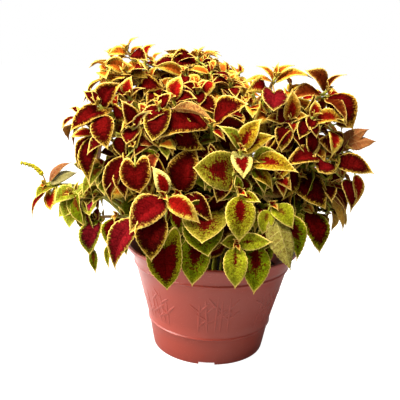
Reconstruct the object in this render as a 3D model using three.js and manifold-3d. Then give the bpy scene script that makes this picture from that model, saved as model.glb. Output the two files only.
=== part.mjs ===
// A potted coleus: a round plastic pot, its soil, and the leafy shoots that grow from it.
// Millimetres, +Z up. -Y is the plant's front, where the longest leaves hang over the rim, and +X
// its right. The places below count from the pot's axis, in the plane that the pot stands on.

import * as THREE from 'three';
import { mergeVertices } from 'three/addons/utils/BufferGeometryUtils.js';
import Module from 'manifold-3d';

const wasm = await Module();
wasm.setup();

// ---------------------------------------------------------------- driving dimensions

const POT_HEIGHT = 112;
const RIM_RADIUS = 90;
const FOOT_RADIUS = 58.6;
const WALL = 2.2;
const UPPER_RING = 92; // height of the upper ring, under the rim's band
const UPPER_RING_RADIUS = 81.4;
const LOWER_RING = 30;
const LOWER_RING_RADIUS = 65;
const RING_PROUD = 1.1; // how far both rings stand out of the wall
const RING_REACH = 2.4; // and how far each runs up and down it
const RING_CREST = 0.8;
const BAND_TOP_RADIUS = 86.6;
const LIP_HEIGHT = 3.4;
const LIP_WIDTH = 3.2;
const EDGE = 0.8; // the bevel on the lip and on the foot
const FOOT_DEPTH = 3.2; // the floor is raised this far
const FOOT_FLAT = 1.8; // the width of the ring that the pot stands on
const FOOT_SLOPE = 1.4;
const FLOOR_THICKNESS = 2.2;
const NOTCH_WIDTH = 16;
const NOTCH_RISE = 2.8;
const NOTCH_DEPTH = 14;
const NOTCHES = 4;
const DRAIN_RADIUS = 2.4;
const DRAINS = 5;
const DRAIN_CIRCLE = 38;
const POT_SIDES = 40;

const SOIL_TOP = 80;
const GAP = 0.35; // between solids that touch
const POT_ROOM_BOTTOM = 20; // leaves keep out of the pot's wall from here up
const POT_ROOM_RIM = 14; // and out of the rim's overhang from this far under its top

const STEM_RADIUS = 2.6; // half the diagonal of the square stem, at the soil
const CROWN_RADIUS = 1.9; // and at the crown
const STEM_STEPS = 5;
const BEND_SHARE = 0.3; // a stem bends over this share of its way out to the crown
const BEND_HEIGHT = 0.75; // at this share of its height
const BEND_LIFT = 0.2; // and higher by this share of the crown's distance from the axis
// A shoot leaves the soil at a share of its crown's distance from the axis, turned by an angle in
// degrees from its crown's bearing: the first of these places where its stem is clear of the rest.
const ROOT_SHARES = [0.42, 0.56, 0.3, 0.7, 0.2];
const ROOT_TURNS = [0, 9, -9, 18, -18, 27, -27];
const ROOT_LIMIT = 64;
const LEAF_THICKNESS = 1.2;
const PETIOLE_WIDTH = 2.2;
const LEAF_ROOT = 1; // a leaf's width where it leaves the middle of its stem
const SHORT_PETIOLE = 3; // up to this length a petiole is no more than the blade's narrow foot
const WIDEST = 0.34; // where along its length a blade is widest
const SHOULDER = 0.68; // and where it begins to close, as wide as this share of its widest
const PAIR_SPACING = 3; // a stem carries its leaves in pairs, this far apart under the crown
const FIRST_PAIR = 0.7; // the youngest pair is this share of the spacing under the crown
// A front leaf faces away from a point inside the plant, and this share of the way to one side.
const SIDEWAYS = 0.45;
const HEART_Y = 60;
const HEART_Z = 110;
const ARCH = 0.13; // how high a leaf blade bows over the line from its base to its tip
const SMALL_BLADE = 30; // a blade under this length has a plainer outline
const SHORTER = [1, 0.85, 0.7, 0.55, 0.4]; // a leaf that meets a neighbour is shortened to these

// ---------------------------------------------------------------- where the shoots are

// Each shoot: its name, its crown's place, and its leaves from the youngest down. A leaf is its
// tip's place from the crown, its petiole's length, its blade's width as a share of the blade's
// length, and its turn about its own midrib, in degrees.

const FRONT_SHOOTS = [
  ['front_1', [-43, -100, 181], [
    [-12, 5, 26, 2, 0.5, 0],
    [32, -8, -20, 2, 0.5, 0],
    [-28, -18, -27, 3, 0.66, 0],
    [-2, -8, -56, 5, 0.66, 0],
    [-46, -4, -68, 30, 0.46, 8],
    [6, -8, -83, 28, 0.57, 0],
  ]],
  ['front_2', [-32, -82, 180], [
    [14, 6, 45, 3, 0.62, 0],
    [32, -20, -22, 4, 0.42, 0],
    [14, -14, -34, 6, 0.5, 0],
  ]],
  ['front_3', [-8, -90, 166], [
    [0, -32, -16, 2, 1.1, 0],
    [-20, -10, 4, 2, 0.6, 0],
    [3, -26, -31, 6, 1.0, 0],
    [-8, -13, -65, 18, 0.58, 0],
  ]],
  ['front_4', [22, -96, 187], [
    [1, -14, -40, 2, 0.65, 0],
    [-4, 6, 16, 2, 0.5, 0],
    [18, -6, -6, 2, 0.5, 0],
    [-22, 6, -10, 4, 0.55, 0],
  ]],
  ['front_5', [21, -102, 143], [
    [2, -8, -39, 2, 0.56, 0],
    [31, -8, 5, 2, 0.5, 0],
    [-12, -8, 2, 2, 0.8, 0],
  ]],
  ['front_6', [38, -92, 146], [
    [16, -10, 0, 2, 0.7, 0],
    [1, -18, -46, 6, 0.58, 0],
    [-14, 4, 6, 2, 0.6, 0],
  ]],
  ['front_7', [50, -90, 176], [
    [19, -10, -17, 2, 0.7, 0],
    [-7, -10, -24, 5, 0.7, 0],
    [18, -16, -54, 10, 0.5, 170],
    [27, 2, -52, 8, 0.42, 0],
  ]],
  ['front_8', [82, -58, 168], [
    [18, -12, -41, 6, 0.62, 0],
    [12, -2, -6, 2, 0.7, 0],
    [-14, -10, -20, 3, 0.5, 0],
  ]],

  ['middle_1', [-72, -84, 221], [
    [7, -16, -38, 18, 1.05, 0],
    [-26, 8, -57, 10, 0.38, 0],
    [22, 2, -18, 4, 0.6, 0],
  ]],
  ['middle_2', [-75, -78, 237], [
    [-4, -9, -13, 1, 1.0, 0],
    [18, -9, 17, 1, 0.25, 60],
    [-10, -4, 24, 2, 0.42, 0],
    [8, 10, 12, 2, 0.6, 0],
  ]],
  ['middle_3', [-92, -72, 231], [
    [-25, -2, -20, 2, 0.5, 0],
    [12, -10, -22, 4, 0.55, 0],
  ]],
  ['middle_4', [-52, -78, 256], [
    [-2, -17, -28, 5, 0.85, 0],
    [-15, -8, -14, 1, 0.75, 0],
    [48, -6, -8, 12, 0.3, -100],
    [10, 8, 12, 2, 0.6, 0],
  ]],
  ['middle_5', [-6, -72, 242], [
    [32, -10, 20, 5, 0.62, 0],
    [-45, -14, -13, 3, 0.58, 0],
    [13, -10, -11, 4, 0.4, 0],
    [34, 0, 0, 3, 0.45, 0],
  ]],
  ['middle_6', [21, -88, 223], [
    [16, 6, 28, 2, 0.52, 0],
    [-21, -4, 21, 2, 0.42, 0],
    [29, -5, 14, 2, 0.46, 20],
    [4, -14, -20, 3, 0.86, 0],
  ]],
  ['middle_7', [30, -84, 212], [
    [40, -16, -4, 3, 0.46, 0],
    [28, -2, 6, 2, 0.62, 0],
    [14, -8, -26, 4, 0.5, 0],
  ]],
  ['middle_8', [17, -90, 204], [
    [-35, -8, 4, 2, 1.0, -12],
    [-14, -2, -28, 4, 0.6, 0],
    [16, -4, -20, 4, 0.55, 0],
  ]],

  ['right_1', [54, -78, 198], [
    [13, -8, -9, 1, 0.6, 0],
    [7, -9, -16, 2, 0.5, 0],
    [-14, -6, -11, 1, 0.6, 0],
    [16, -2, 10, 2, 0.5, 0],
  ]],
  ['right_2', [104, -56, 213], [
    [-13, -22, -9, 3, 1.1, 0],
    [40, -6, -10, 6, 0.52, 15],
    [-10, -8, 2, 1, 0.6, 0],
    [-44, -24, -2, 12, 0.56, 10],
    [27, 2, -50, 22, 0.5, 0],
  ]],
  ['right_3', [120, -44, 222], [
    [-29, -16, 9, 2, 0.7, -40],
    [26, -6, 7, 4, 0.55, 180],
    [15, -4, -54, 24, 0.5, 0],
    [14, -2, -12, 3, 0.7, 150],
    [-24, -12, -8, 2, 0.42, 0],
    [20, 2, 19, 3, 0.5, 180],
  ]],
  ['right_4', [98, -42, 274], [
    [16, 0, 16, 2, 0.22, 0],
    [-21, -2, 17, 3, 0.6, 0],
    [-35, -10, -9, 4, 0.5, 0],
    [26, -8, -32, 4, 0.62, 40],
    [19, -14, -25, 4, 0.42, 0],
  ]],
  ['right_5', [85, -60, 252], [
    [1, 2, 15, 1, 0.6, 0],
    [-4, -9, -11, 1, 0.95, 0],
    [-13, -10, -19, 2, 0.75, 0],
    [3, -8, -18, 2, 0.55, 0],
    [33, 4, -6, 3, 0.4, 0],
    [0, -6, -36, 8, 0.5, 0],
  ]],
  ['right_6', [65, -58, 248], [
    [-4, -3, 8, 1, 0.6, 0],
    [3, -8, -10, 1, 0.6, 0],
    [16, -2, 4, 2, 0.5, 0],
    [-8, -16, -27, 5, 0.68, 0],
    [-24, -6, 0, 3, 0.5, 0],
    [-1, -2, 28, 6, 0.45, 0],
  ]],
  ['right_7', [50, -48, 285], [
    [2, 2, 13, 1, 0.3, 0],
    [16, 2, 11, 1, 0.3, 0],
    [-18, 2, 9, 1, 0.32, 0],
    [-31, -4, -7, 2, 0.24, 0],
    [33, 0, 3, 3, 0.32, 0],
    [-3, -24, -29, 12, 1.05, 0],
    [-4, -10, -42, 24, 0.6, 0],
    [-17, -4, -37, 22, 0.6, 0],
  ]],
  ['right_8', [106, -46, 187], [
    [20, -6, -25, 3, 0.42, 0],
    [16, -8, -22, 4, 0.5, 180],
    [17, -4, -43, 10, 0.36, 180],
    [2, 14, -18, 5, 0.6, 0],
  ]],
  ['right_9', [76, -60, 196], [
    [26, -12, -24, 3, 0.85, 0],
    [-8, -6, -20, 3, 0.6, 0],
    [-4, 10, 10, 2, 0.6, 0],
  ]],

  ['top_1', [-66, -38, 279], [
    [7, 0, 11, 1, 0.5, 0],
    [-17, -4, -3, 1, 0.5, 0],
    [13, -12, -21, 2, 0.5, 0],
    [-6, -14, -20, 3, 0.6, 0],
  ]],
  ['top_2', [-42, -28, 295], [
    [-8, 0, 6, 1, 0.45, 0],
    [19, -4, 4, 1, 0.5, 0],
    [-20, -10, -3, 1, 0.75, -30],
    [12, -14, -14, 2, 0.5, 0],
  ]],
  ['top_3', [-22, -24, 300], [
    [6, -5, 9, 1, 0.62, 0],
    [21, -4, 4, 2, 0.3, 0],
    [-26, -12, -13, 2, 0.56, -35],
    [14, -14, -16, 12, 0.8, 0],
    [20, 8, -6, 3, 0.4, 0],
    [-15, -16, -15, 2, 0.32, 0],
  ]],
  ['top_4', [-8, -6, 293], [
    [13, 6, -1, 1, 0.4, 0],
    [20, -6, -12, 2, 0.34, 0],
    [26, 0, -18, 4, 0.45, 0],
    [-8, 16, 2, 2, 0.5, 0],
  ]],
  ['top_5', [-41, -64, 261], [
    [5, 8, 22, 2, 0.6, 0],
    [21, -6, 4, 2, 0.6, 0],
    [10, -12, -10, 2, 0.6, 0],
  ]],
  ['top_6', [-20, -58, 270], [
    [3, -10, -12, 1, 0.98, 0],
    [10, 2, 10, 1, 0.4, 0],
    [18, -9, -18, 3, 0.85, 0],
    [-14, -4, 6, 2, 0.6, 0],
  ]],
  ['top_7', [10, -38, 278], [
    [5, 0, 9, 1, 0.5, 0],
    [-19, -8, -1, 2, 0.48, 0],
    [5, -14, -14, 2, 0.65, 0],
    [14, -4, -4, 2, 0.6, 0],
    [12, 2, -20, 4, 0.7, 0],
  ]],
  ['top_8', [-33, -40, 284], [
    [-29, -4, 4, 2, 0.32, -60],
    [2, -16, -12, 2, 0.6, 0],
    [10, 8, 6, 2, 0.5, 0],
  ]],

  ['left_1', [-108, -64, 254], [
    [-7, 0, 14, 1, 0.36, 0],
    [-15, 4, 12, 2, 0.4, 0],
    [20, -6, 20, 2, 0.7, 35],
    [-24, -8, -22, 3, 0.72, 0],
    [12, -22, -36, 8, 0.62, 0],
  ]],
  ['left_2', [-87, -42, 284], [
    [-3, 2, 10, 1, 0.4, 0],
    [-21, -2, 6, 2, 0.45, 0],
    [-18, -8, -14, 3, 0.6, 0],
    [20, -12, 4, 5, 0.6, 0],
    [-15, -2, -5, 3, 0.55, 0],
    [-6, -8, -14, 4, 0.6, 0],
    [-8, 3, 9, 2, 0.5, 0],
  ]],
  ['left_3', [-81, -64, 263], [
    [1, 3, 18, 1, 0.52, 0],
    [14, -3, 9, 1, 0.3, 0],
    [2, -9, -9, 1, 0.7, 0],
    [-16, 0, 6, 2, 0.5, 0],
  ]],
  ['left_4', [-112, -60, 229], [
    [-22, -2, -6, 2, 0.5, 0],
    [-3, -14, -45, 3, 0.46, 0],
    [-18, 4, -35, 3, 0.5, 0],
    [-5, -6, 6, 1, 0.6, 0],
  ]],
  ['left_5', [-104, -54, 197], [
    [3, -14, -26, 2, 0.55, 0],
    [-10, -18, -17, 3, 0.66, 0],
    [11, -2, 14, 2, 0.5, 0],
    [-14, -6, -5, 2, 0.6, 0],
    [-5, -12, -17, 3, 0.4, 0],
    [-6, 2, -6, 2, 0.5, 0],
    [-22, -4, -29, 12, 0.5, 0],
    [-3, -20, -13, 4, 0.44, 0],
    [7, -14, -11, 3, 0.5, 0],
  ]],
  ['left_6', [-120, -48, 167], [
    [-5, 2, 12, 1, 0.4, 0],
    [14, -4, 0, 1, 0.6, 0],
    [4, -18, -16, 5, 0.85, 0],
    [-11, -6, -4, 1, 0.5, 0],
    [10, -6, -13, 1, 0.5, 0],
    [-7, -8, -17, 2, 0.4, 0],
    [10, -8, -28, 14, 0.5, 0],
    [-12, -4, -1, 2, 0.6, 0],
    [6, -10, -2, 1, 0.5, 0],
    [-4, -2, 5, 2, 0.6, 0],
    [7, -14, -5, 2, 0.6, 0],
  ]],
  ['left_7', [-138, -42, 167], [
    [0, -8, -34, 2, 0.75, 0],
    [18, -13, -29, 3, 0.4, 0],
    [24, -10, -43, 18, 0.4, 0],
    [6, 2, 12, 1, 0.4, 0],
    [-17, -4, -11, 2, 0.7, 0],
    [0, -8, -20, 2, 0.6, 0],
    [15, -14, -32, 4, 0.5, 0],
    [-14, -2, -25, 2, 0.8, 0],
    [-6, 2, -6, 2, 0.6, 0],
    [8, -10, -10, 2, 0.5, 0],
  ]],
  ['left_8', [-110, -54, 147], [
    [-12, -6, -9, 2, 0.8, 0],
    [-6, -10, -36, 3, 0.66, 0],
    [-1, -5, -55, 30, 0.42, 0],
    [5, 2, 8, 1, 0.4, 0],
  ]],
  ['left_9', [-88, -68, 153], [
    [-8, -8, -28, 2, 0.62, 0],
    [-8, -5, -52, 28, 0.26, 0],
    [-1, 2, 8, 1, 0.4, 0],
    [8, -4, -37, 22, 0.4, 0],
  ]],
  ['left_spike', [-166, -30, 170], [
    [26, -3, 25, 4, 0.34, 180],
    [34, -2, 12, 3, 0.42, 180],
    [-9, -10, -9, 1, 0.8, 0],
    [6, -10, -23, 8, 1.0, 0],
    [-16, -3, -36, 10, 0.22, 0],
    [13, -6, -10, 1, 0.7, 0],
  ]],
  ['crown_left', [-88, -30, 302], [
    [10, -6, 13, 1, 0.28, 0],
    [-17, -4, -4, 1, 0.38, 0],
    [22, -12, -4, 2, 0.85, 0],
    [14, 6, 5, 2, 0.4, 0],
    [-7, -6, -8, 3, 0.45, 0],
    [13, -4, -13, 4, 0.5, 0],
  ]],
];

// The shoots on the sides and at the back all grow alike. Each is a name, its bearing in degrees
// (0 is the plant's right, 90 its back), its crown's distance from the axis and its height, and
// the turn of its first pair of leaves.
const BACK_SHOOTS = [
  ['back_1', 8, 122, 168, 0],
  ['back_2', 44, 116, 160, 50],
  ['back_3', 84, 112, 164, 20],
  ['back_4', 124, 118, 158, 70],
  ['back_5', 166, 132, 170, 35],
  ['back_6', 16, 104, 232, 60],
  ['back_7', 58, 92, 226, 15],
  ['back_8', 100, 90, 232, 65],
  ['back_9', 140, 104, 238, 30],
  ['back_10', 176, 112, 262, 80],
  ['back_11', 40, 56, 232, 40],
  ['back_12', 128, 60, 286, 10],
  ['back_13', 110, 22, 276, 30],
  ['back_14', 92, 54, 258, 75],
];
const BACK_PAIRS = [
  // opening from the stem's line in degrees, droop, petiole, blade length, width
  [46, 0.05, 3, 27, 0.58],
  [76, 0.25, 6, 40, 0.66],
  [100, 0.45, 9, 46, 0.66],
];
const BACK_NODE_STEP = 5;

const SPIKE_OFFSET = [-27, -4, 16]; // the flower spike's tip, from the crown that carries it
const SPIKE_RADIUS = 2.6;
const WHORLS = 6;
const WHORL_WAIST = 0.5; // a spike's width between two whorls, as a share of their own

const UP = new THREE.Vector3(0, 0, 1);

// ---------------------------------------------------------------- helpers

function solid(geometry) {
  const bare = geometry.clone();
  bare.deleteAttribute('normal');
  bare.deleteAttribute('uv');
  const merged = mergeVertices(bare, 1e-4);
  return new wasm.Manifold(new wasm.Mesh({
    numProp: 3,
    vertProperties: new Float32Array(merged.attributes.position.array),
    triVerts: new Uint32Array(merged.index.array),
  }));
}

function geometryOf(body) {
  const mesh = body.getMesh();
  const geometry = new THREE.BufferGeometry();
  geometry.setAttribute('position', new THREE.BufferAttribute(mesh.vertProperties, 3));
  geometry.setIndex(new THREE.BufferAttribute(mesh.triVerts, 1));
  return geometry;
}

function lathe(points, sides) {
  const profile = points.map(([r, z]) => new THREE.Vector2(r, z));
  const geometry = new THREE.LatheGeometry(profile, sides);
  return geometry.rotateX(Math.PI / 2); // the lathe turns about Y, the pot about Z
}

function named(name, geometry, color, roughness) {
  const material = new THREE.MeshStandardMaterial({ color, roughness, metalness: 0 });
  const mesh = new THREE.Mesh(geometry, material);
  mesh.name = name;
  return mesh;
}

function vector([x, y, z]) {
  return new THREE.Vector3(x, y, z);
}

// ---------------------------------------------------------------- the pot

// The wall's outer radius at a height: it flares evenly through both rings.
function wallRadius(z) {
  const slope = (UPPER_RING_RADIUS - LOWER_RING_RADIUS) / (UPPER_RING - LOWER_RING);
  if (z < LOWER_RING) {
    const share = z / LOWER_RING;
    return FOOT_RADIUS + (LOWER_RING_RADIUS - RING_PROUD - FOOT_RADIUS) * share;
  }
  return LOWER_RING_RADIUS - RING_PROUD + slope * (z - LOWER_RING);
}

function potWall() {
  const lipBase = POT_HEIGHT - LIP_HEIGHT;
  const ring = (z) => [
    [wallRadius(z - RING_REACH), z - RING_REACH],
    [wallRadius(z) + RING_PROUD, z - RING_CREST],
    [wallRadius(z) + RING_PROUD, z + RING_CREST],
    [wallRadius(z + RING_REACH), z + RING_REACH],
  ];
  const floorTop = FOOT_DEPTH + FLOOR_THICKNESS;
  return lathe([
    [0, FOOT_DEPTH],
    [FOOT_RADIUS - EDGE - FOOT_FLAT - FOOT_SLOPE, FOOT_DEPTH],
    [FOOT_RADIUS - EDGE - FOOT_FLAT, 0],
    [FOOT_RADIUS - EDGE, 0],
    [FOOT_RADIUS, EDGE],
    ...ring(LOWER_RING),
    ...ring(UPPER_RING),
    [BAND_TOP_RADIUS, lipBase - EDGE],
    [RIM_RADIUS - EDGE, lipBase],
    [RIM_RADIUS, lipBase + EDGE],
    [RIM_RADIUS, POT_HEIGHT - EDGE],
    [RIM_RADIUS - EDGE, POT_HEIGHT],
    [RIM_RADIUS - LIP_WIDTH, POT_HEIGHT],
    [BAND_TOP_RADIUS - WALL, lipBase - WALL],
    [wallRadius(UPPER_RING) - WALL, UPPER_RING],
    [wallRadius(LOWER_RING) - WALL, LOWER_RING],
    [wallRadius(floorTop) - 2 * WALL, floorTop],
    [0, floorTop],
  ], POT_SIDES);
}

function pot() {
  let body = solid(potWall());
  for (let i = 0; i < NOTCHES; i += 1) {
    const notch = new THREE.BoxGeometry(NOTCH_WIDTH, NOTCH_DEPTH, 2 * NOTCH_RISE);
    notch.translate(0, -FOOT_RADIUS, 0);
    notch.rotateZ((i * 2 * Math.PI) / NOTCHES);
    body = body.subtract(solid(notch));
  }
  for (let i = 0; i < DRAINS; i += 1) {
    const drain = new THREE.CylinderGeometry(DRAIN_RADIUS, DRAIN_RADIUS, 4 * FLOOR_THICKNESS, 10);
    drain.rotateX(Math.PI / 2);
    drain.translate(DRAIN_CIRCLE, 0, FOOT_DEPTH + FLOOR_THICKNESS / 2);
    drain.rotateZ(((i + 0.5) * 2 * Math.PI) / DRAINS);
    body = body.subtract(solid(drain));
  }
  return body;
}

// ---------------------------------------------------------------- the soil

function soil() {
  const bottom = FOOT_DEPTH + FLOOR_THICKNESS + GAP;
  const inner = (z) => wallRadius(z) - WALL - GAP;
  return lathe([
    [0, bottom],
    [inner(bottom) - WALL, bottom],
    [inner(LOWER_RING), LOWER_RING],
    [inner(SOIL_TOP), SOIL_TOP],
    [0, SOIL_TOP],
  ], POT_SIDES);
}

// ---------------------------------------------------------------- stems and leaves

// A stem's line: up out of the soil, then bowing out to its crown. Its foot is cut square, so a
// slanted one is lifted until its lowest corner is clear of the soil.
function stemLine(crown, share, turn) {
  const reach = Math.hypot(crown.x, crown.y);
  const out = Math.min(share * reach, ROOT_LIMIT);
  const bearing = Math.atan2(crown.y, crown.x) + THREE.MathUtils.degToRad(turn);
  const root = new THREE.Vector3(out * Math.cos(bearing), out * Math.sin(bearing), SOIL_TOP + GAP);
  const bend = root.clone().lerp(crown, BEND_SHARE);
  bend.z = SOIL_TOP + BEND_HEIGHT * (crown.z - SOIL_TOP) + BEND_LIFT * reach;
  const rise = bend.clone().sub(root).normalize().z;
  root.z += STEM_RADIUS * Math.sqrt(1 - rise * rise);
  return new THREE.QuadraticBezierCurve3(root, bend, crown);
}

function squareShape(radius) {
  const shape = new THREE.Shape();
  shape.moveTo(radius, 0);
  shape.lineTo(0, radius);
  shape.lineTo(-radius, 0);
  shape.lineTo(0, -radius);
  shape.closePath();
  return shape;
}

function stem(line, spare) {
  const geometry = new THREE.ExtrudeGeometry(squareShape(STEM_RADIUS + spare), {
    steps: STEM_STEPS,
    extrudePath: line,
    curveSegments: 1,
  });
  return taper(geometry, line, spare);
}

// Draws each ring of a stem in towards the stem's line, so that it thins to its crown.
function taper(geometry, line, spare) {
  const place = geometry.attributes.position;
  const point = new THREE.Vector3();
  const centres = line.getPoints(STEM_STEPS * 4);
  for (let i = 0; i < place.count; i += 1) {
    point.fromBufferAttribute(place, i);
    let near = 0;
    centres.forEach((c, k) => {
      if (c.distanceTo(point) < centres[near].distanceTo(point)) near = k;
    });
    const thin = THREE.MathUtils.lerp(STEM_RADIUS, CROWN_RADIUS, near / (centres.length - 1));
    const share = (thin + spare) / (STEM_RADIUS + spare);
    point.sub(centres[near]).multiplyScalar(share).add(centres[near]);
    place.setXYZ(i, point.x, point.y, point.z);
  }
  return geometry;
}

// A leaf lies along +X from its stalk's foot, and is then bowed and put in its place.
function leaf(foot, tip, petiole, width, turn, outward, spare) {
  const along = tip.clone().sub(foot);
  const reach = along.length();
  along.normalize();
  const blade = reach - petiole;
  const half = (width * blade) / 2 + spare;
  const stalk = PETIOLE_WIDTH / 2 + spare;
  const root = LEAF_ROOT / 2 + spare;
  const edge = [[0, root]];
  if (petiole > SHORT_PETIOLE) edge.push([petiole, stalk]);
  edge.push([petiole + WIDEST * blade, half]);
  if (blade > SMALL_BLADE) edge.push([petiole + SHOULDER * blade, SHOULDER * half]);
  const shape = new THREE.Shape();
  shape.moveTo(0, -root);
  edge.slice(1).forEach(([x, y]) => shape.lineTo(x, -y));
  shape.lineTo(reach + spare, 0);
  edge.reverse().forEach(([x, y]) => shape.lineTo(x, y));
  const thick = LEAF_THICKNESS + 2 * spare;
  const geometry = new THREE.ExtrudeGeometry(shape, { depth: thick, bevelEnabled: false });
  geometry.translate(0, 0, -thick / 2);
  const place = geometry.attributes.position;
  for (let i = 0; i < place.count; i += 1) {
    const share = THREE.MathUtils.clamp(place.getX(i) / reach, 0, 1);
    place.setZ(i, place.getZ(i) + ARCH * reach * 4 * share * (1 - share));
  }
  const face = outward.clone().addScaledVector(along, -outward.dot(along));
  face.normalize().applyAxisAngle(along, THREE.MathUtils.degToRad(turn));
  const across = new THREE.Vector3().crossVectors(face, along);
  geometry.applyMatrix4(new THREE.Matrix4().makeBasis(along, across, face));
  return geometry.translate(foot.x, foot.y, foot.z);
}

// The leaves of a shoot at the side or the back, as tips from its crown.
function pairsAround(axis, spin) {
  const side = new THREE.Vector3(0, 0, 1).cross(axis).normalize();
  const leaves = [];
  BACK_PAIRS.forEach(([opening, droop, petiole, blade, width], k) => {
    for (const half of [0, 180]) {
      const around = THREE.MathUtils.degToRad(spin + 90 * k + half);
      const out = side.clone().applyAxisAngle(axis, around);
      const open = THREE.MathUtils.degToRad(opening);
      const way = axis.clone().multiplyScalar(Math.cos(open)).addScaledVector(out, Math.sin(open));
      way.z -= droop;
      way.normalize().multiplyScalar(petiole + blade);
      way.addScaledVector(axis, -BACK_NODE_STEP * k);
      leaves.push([way.x, way.y, way.z, petiole, width, 0]);
    }
  });
  return leaves;
}

// The stem's line from the first root where the stem is clear of the stems before it.
function rootedLine(crown, stems) {
  const lines = ROOT_SHARES.flatMap((share) => ROOT_TURNS.map((turn) => stemLine(crown, share, turn)));
  const free = lines.find((line) => !stems.some((other) => meets(solid(stem(line, GAP)), other)));
  stems.push(solid(stem(free, 0)));
  return free;
}

function shootPlan() {
  const stems = [];
  const plan = FRONT_SHOOTS.map(([name, place, leaves]) => {
    const crown = vector(place);
    const outward = new THREE.Vector3(crown.x * SIDEWAYS, crown.y - HEART_Y, crown.z - HEART_Z);
    const line = rootedLine(crown, stems);
    return { name: `shoot_${name}`, crown, line, outward, leaves, step: PAIR_SPACING };
  });
  for (const [name, bearing, reach, height, spin] of BACK_SHOOTS) {
    const angle = THREE.MathUtils.degToRad(bearing);
    const crown = new THREE.Vector3(reach * Math.cos(angle), reach * Math.sin(angle), height);
    const line = rootedLine(crown, stems);
    const outward = line.getTangent(1);
    const leaves = pairsAround(outward, spin);
    plan.push({ name: `shoot_${name}`, crown, line, outward, leaves, step: BACK_NODE_STEP });
  }
  return plan;
}

// One leaf of a shoot as a solid, drawn to a share of its full length.
function shootLeaf(entry, i, share, spare) {
  const [x, y, z, petiole, width, turn] = entry.leaves[i];
  const back = entry.line.getSpacedPoints(STEM_STEPS)[STEM_STEPS - 1].sub(entry.crown).normalize();
  const down = entry.step * (Math.floor(i / 2) + FIRST_PAIR);
  const foot = entry.crown.clone().addScaledVector(back, down);
  const tip = entry.crown.clone().add(new THREE.Vector3(x, y, z));
  const end = foot.clone().lerp(tip, share);
  return solid(leaf(foot, end, petiole * share, width, turn, entry.outward, spare));
}

function meets(a, b) {
  const p = a.boundingBox();
  const q = b.boundingBox();
  if ([0, 1, 2].some((k) => p.min[k] > q.max[k] || q.min[k] > p.max[k])) return false;
  return a.intersect(b).volume() > 0;
}

// One closed skin: no loose part, and no pocket sealed between two leaves.
function isWhole(body) {
  return body.decompose().length === 1;
}

// The flower spike: a tapering stalk of small whorls, on the shoot at the far left.
function spike(crown) {
  const tip = crown.clone().add(vector(SPIKE_OFFSET));
  const length = tip.distanceTo(crown);
  const pitch = length / WHORLS;
  const points = [[0, -1]];
  for (let i = 0; i < WHORLS; i += 1) {
    const swell = SPIKE_RADIUS * (1 - (0.5 * i) / WHORLS);
    points.push([WHORL_WAIST * swell, pitch * i]);
    points.push([swell, pitch * (i + 0.5)]);
  }
  points.push([0, length]);
  const geometry = lathe(points, 8);
  const turn = new THREE.Quaternion().setFromUnitVectors(UP, tip.clone().sub(crown).normalize());
  return geometry.applyQuaternion(turn).translate(crown.x, crown.y, crown.z);
}

// ---------------------------------------------------------------- the whole plant

const plant = new THREE.Group();
const potBody = pot();
plant.add(named('pot', geometryOf(potBody), '#9d4a3c', 0.45));
plant.add(named('soil', soil(), '#3a2418', 0.95));

// The pot's wall with room around it, which no leaf may enter.
const roomInside = (z) => wallRadius(z) - WALL - GAP;
const potRoom = solid(lathe([
  [roomInside(POT_ROOM_BOTTOM), POT_ROOM_BOTTOM],
  [RIM_RADIUS + GAP, POT_HEIGHT - POT_ROOM_RIM],
  [RIM_RADIUS + GAP, POT_HEIGHT + GAP],
  [roomInside(POT_HEIGHT - 2 * LIP_HEIGHT), POT_HEIGHT + GAP],
  [roomInside(POT_ROOM_BOTTOM), POT_ROOM_BOTTOM],
], POT_SIDES));

// The stems are whole. Each leaf in turn is as long as it can be clear of the stems of the other
// shoots and of their leaves before it.
const plan = shootPlan();
const stemRooms = plan.map((entry) => solid(stem(entry.line, GAP)));
const leafRooms = [];
plan.forEach((entry, i) => {
  let body = solid(stem(entry.line, 0));
  if (entry.name === 'shoot_left_spike') body = body.add(solid(spike(entry.crown)));
  const taken = [potRoom, ...stemRooms.filter((_, k) => k !== i), ...leafRooms];
  entry.leaves.forEach((_, k) => {
    const fits = (share) => {
      const blade = shootLeaf(entry, k, share, 0);
      return !taken.some((room) => meets(blade, room)) && isWhole(body.add(blade));
    };
    const share = SHORTER.find(fits);
    if (share === undefined) return;
    body = body.add(shootLeaf(entry, k, share, 0));
    leafRooms.push(shootLeaf(entry, k, share, GAP));
  });
  plant.add(named(entry.name, geometryOf(body), '#8c2430', 0.6));
});

// The origin moves from the pot's axis to the middle of the whole plant's outline.
const outline = new THREE.Box3().setFromObject(plant);
plant.position.set(-(outline.min.x + outline.max.x) / 2, -(outline.min.y + outline.max.y) / 2, 0);

export default plant;
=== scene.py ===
"""The looks of a potted coleus: a plastic pot, its soil, and leafy shoots in red, gold and lime.

Every piece is drawn in millimetres round the pot's axis. finished() brings it to metres, in the
model's own frame.
"""
import math
import random

import bmesh
import bpy
from mathutils import Matrix, Quaternion, Vector, noise


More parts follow.
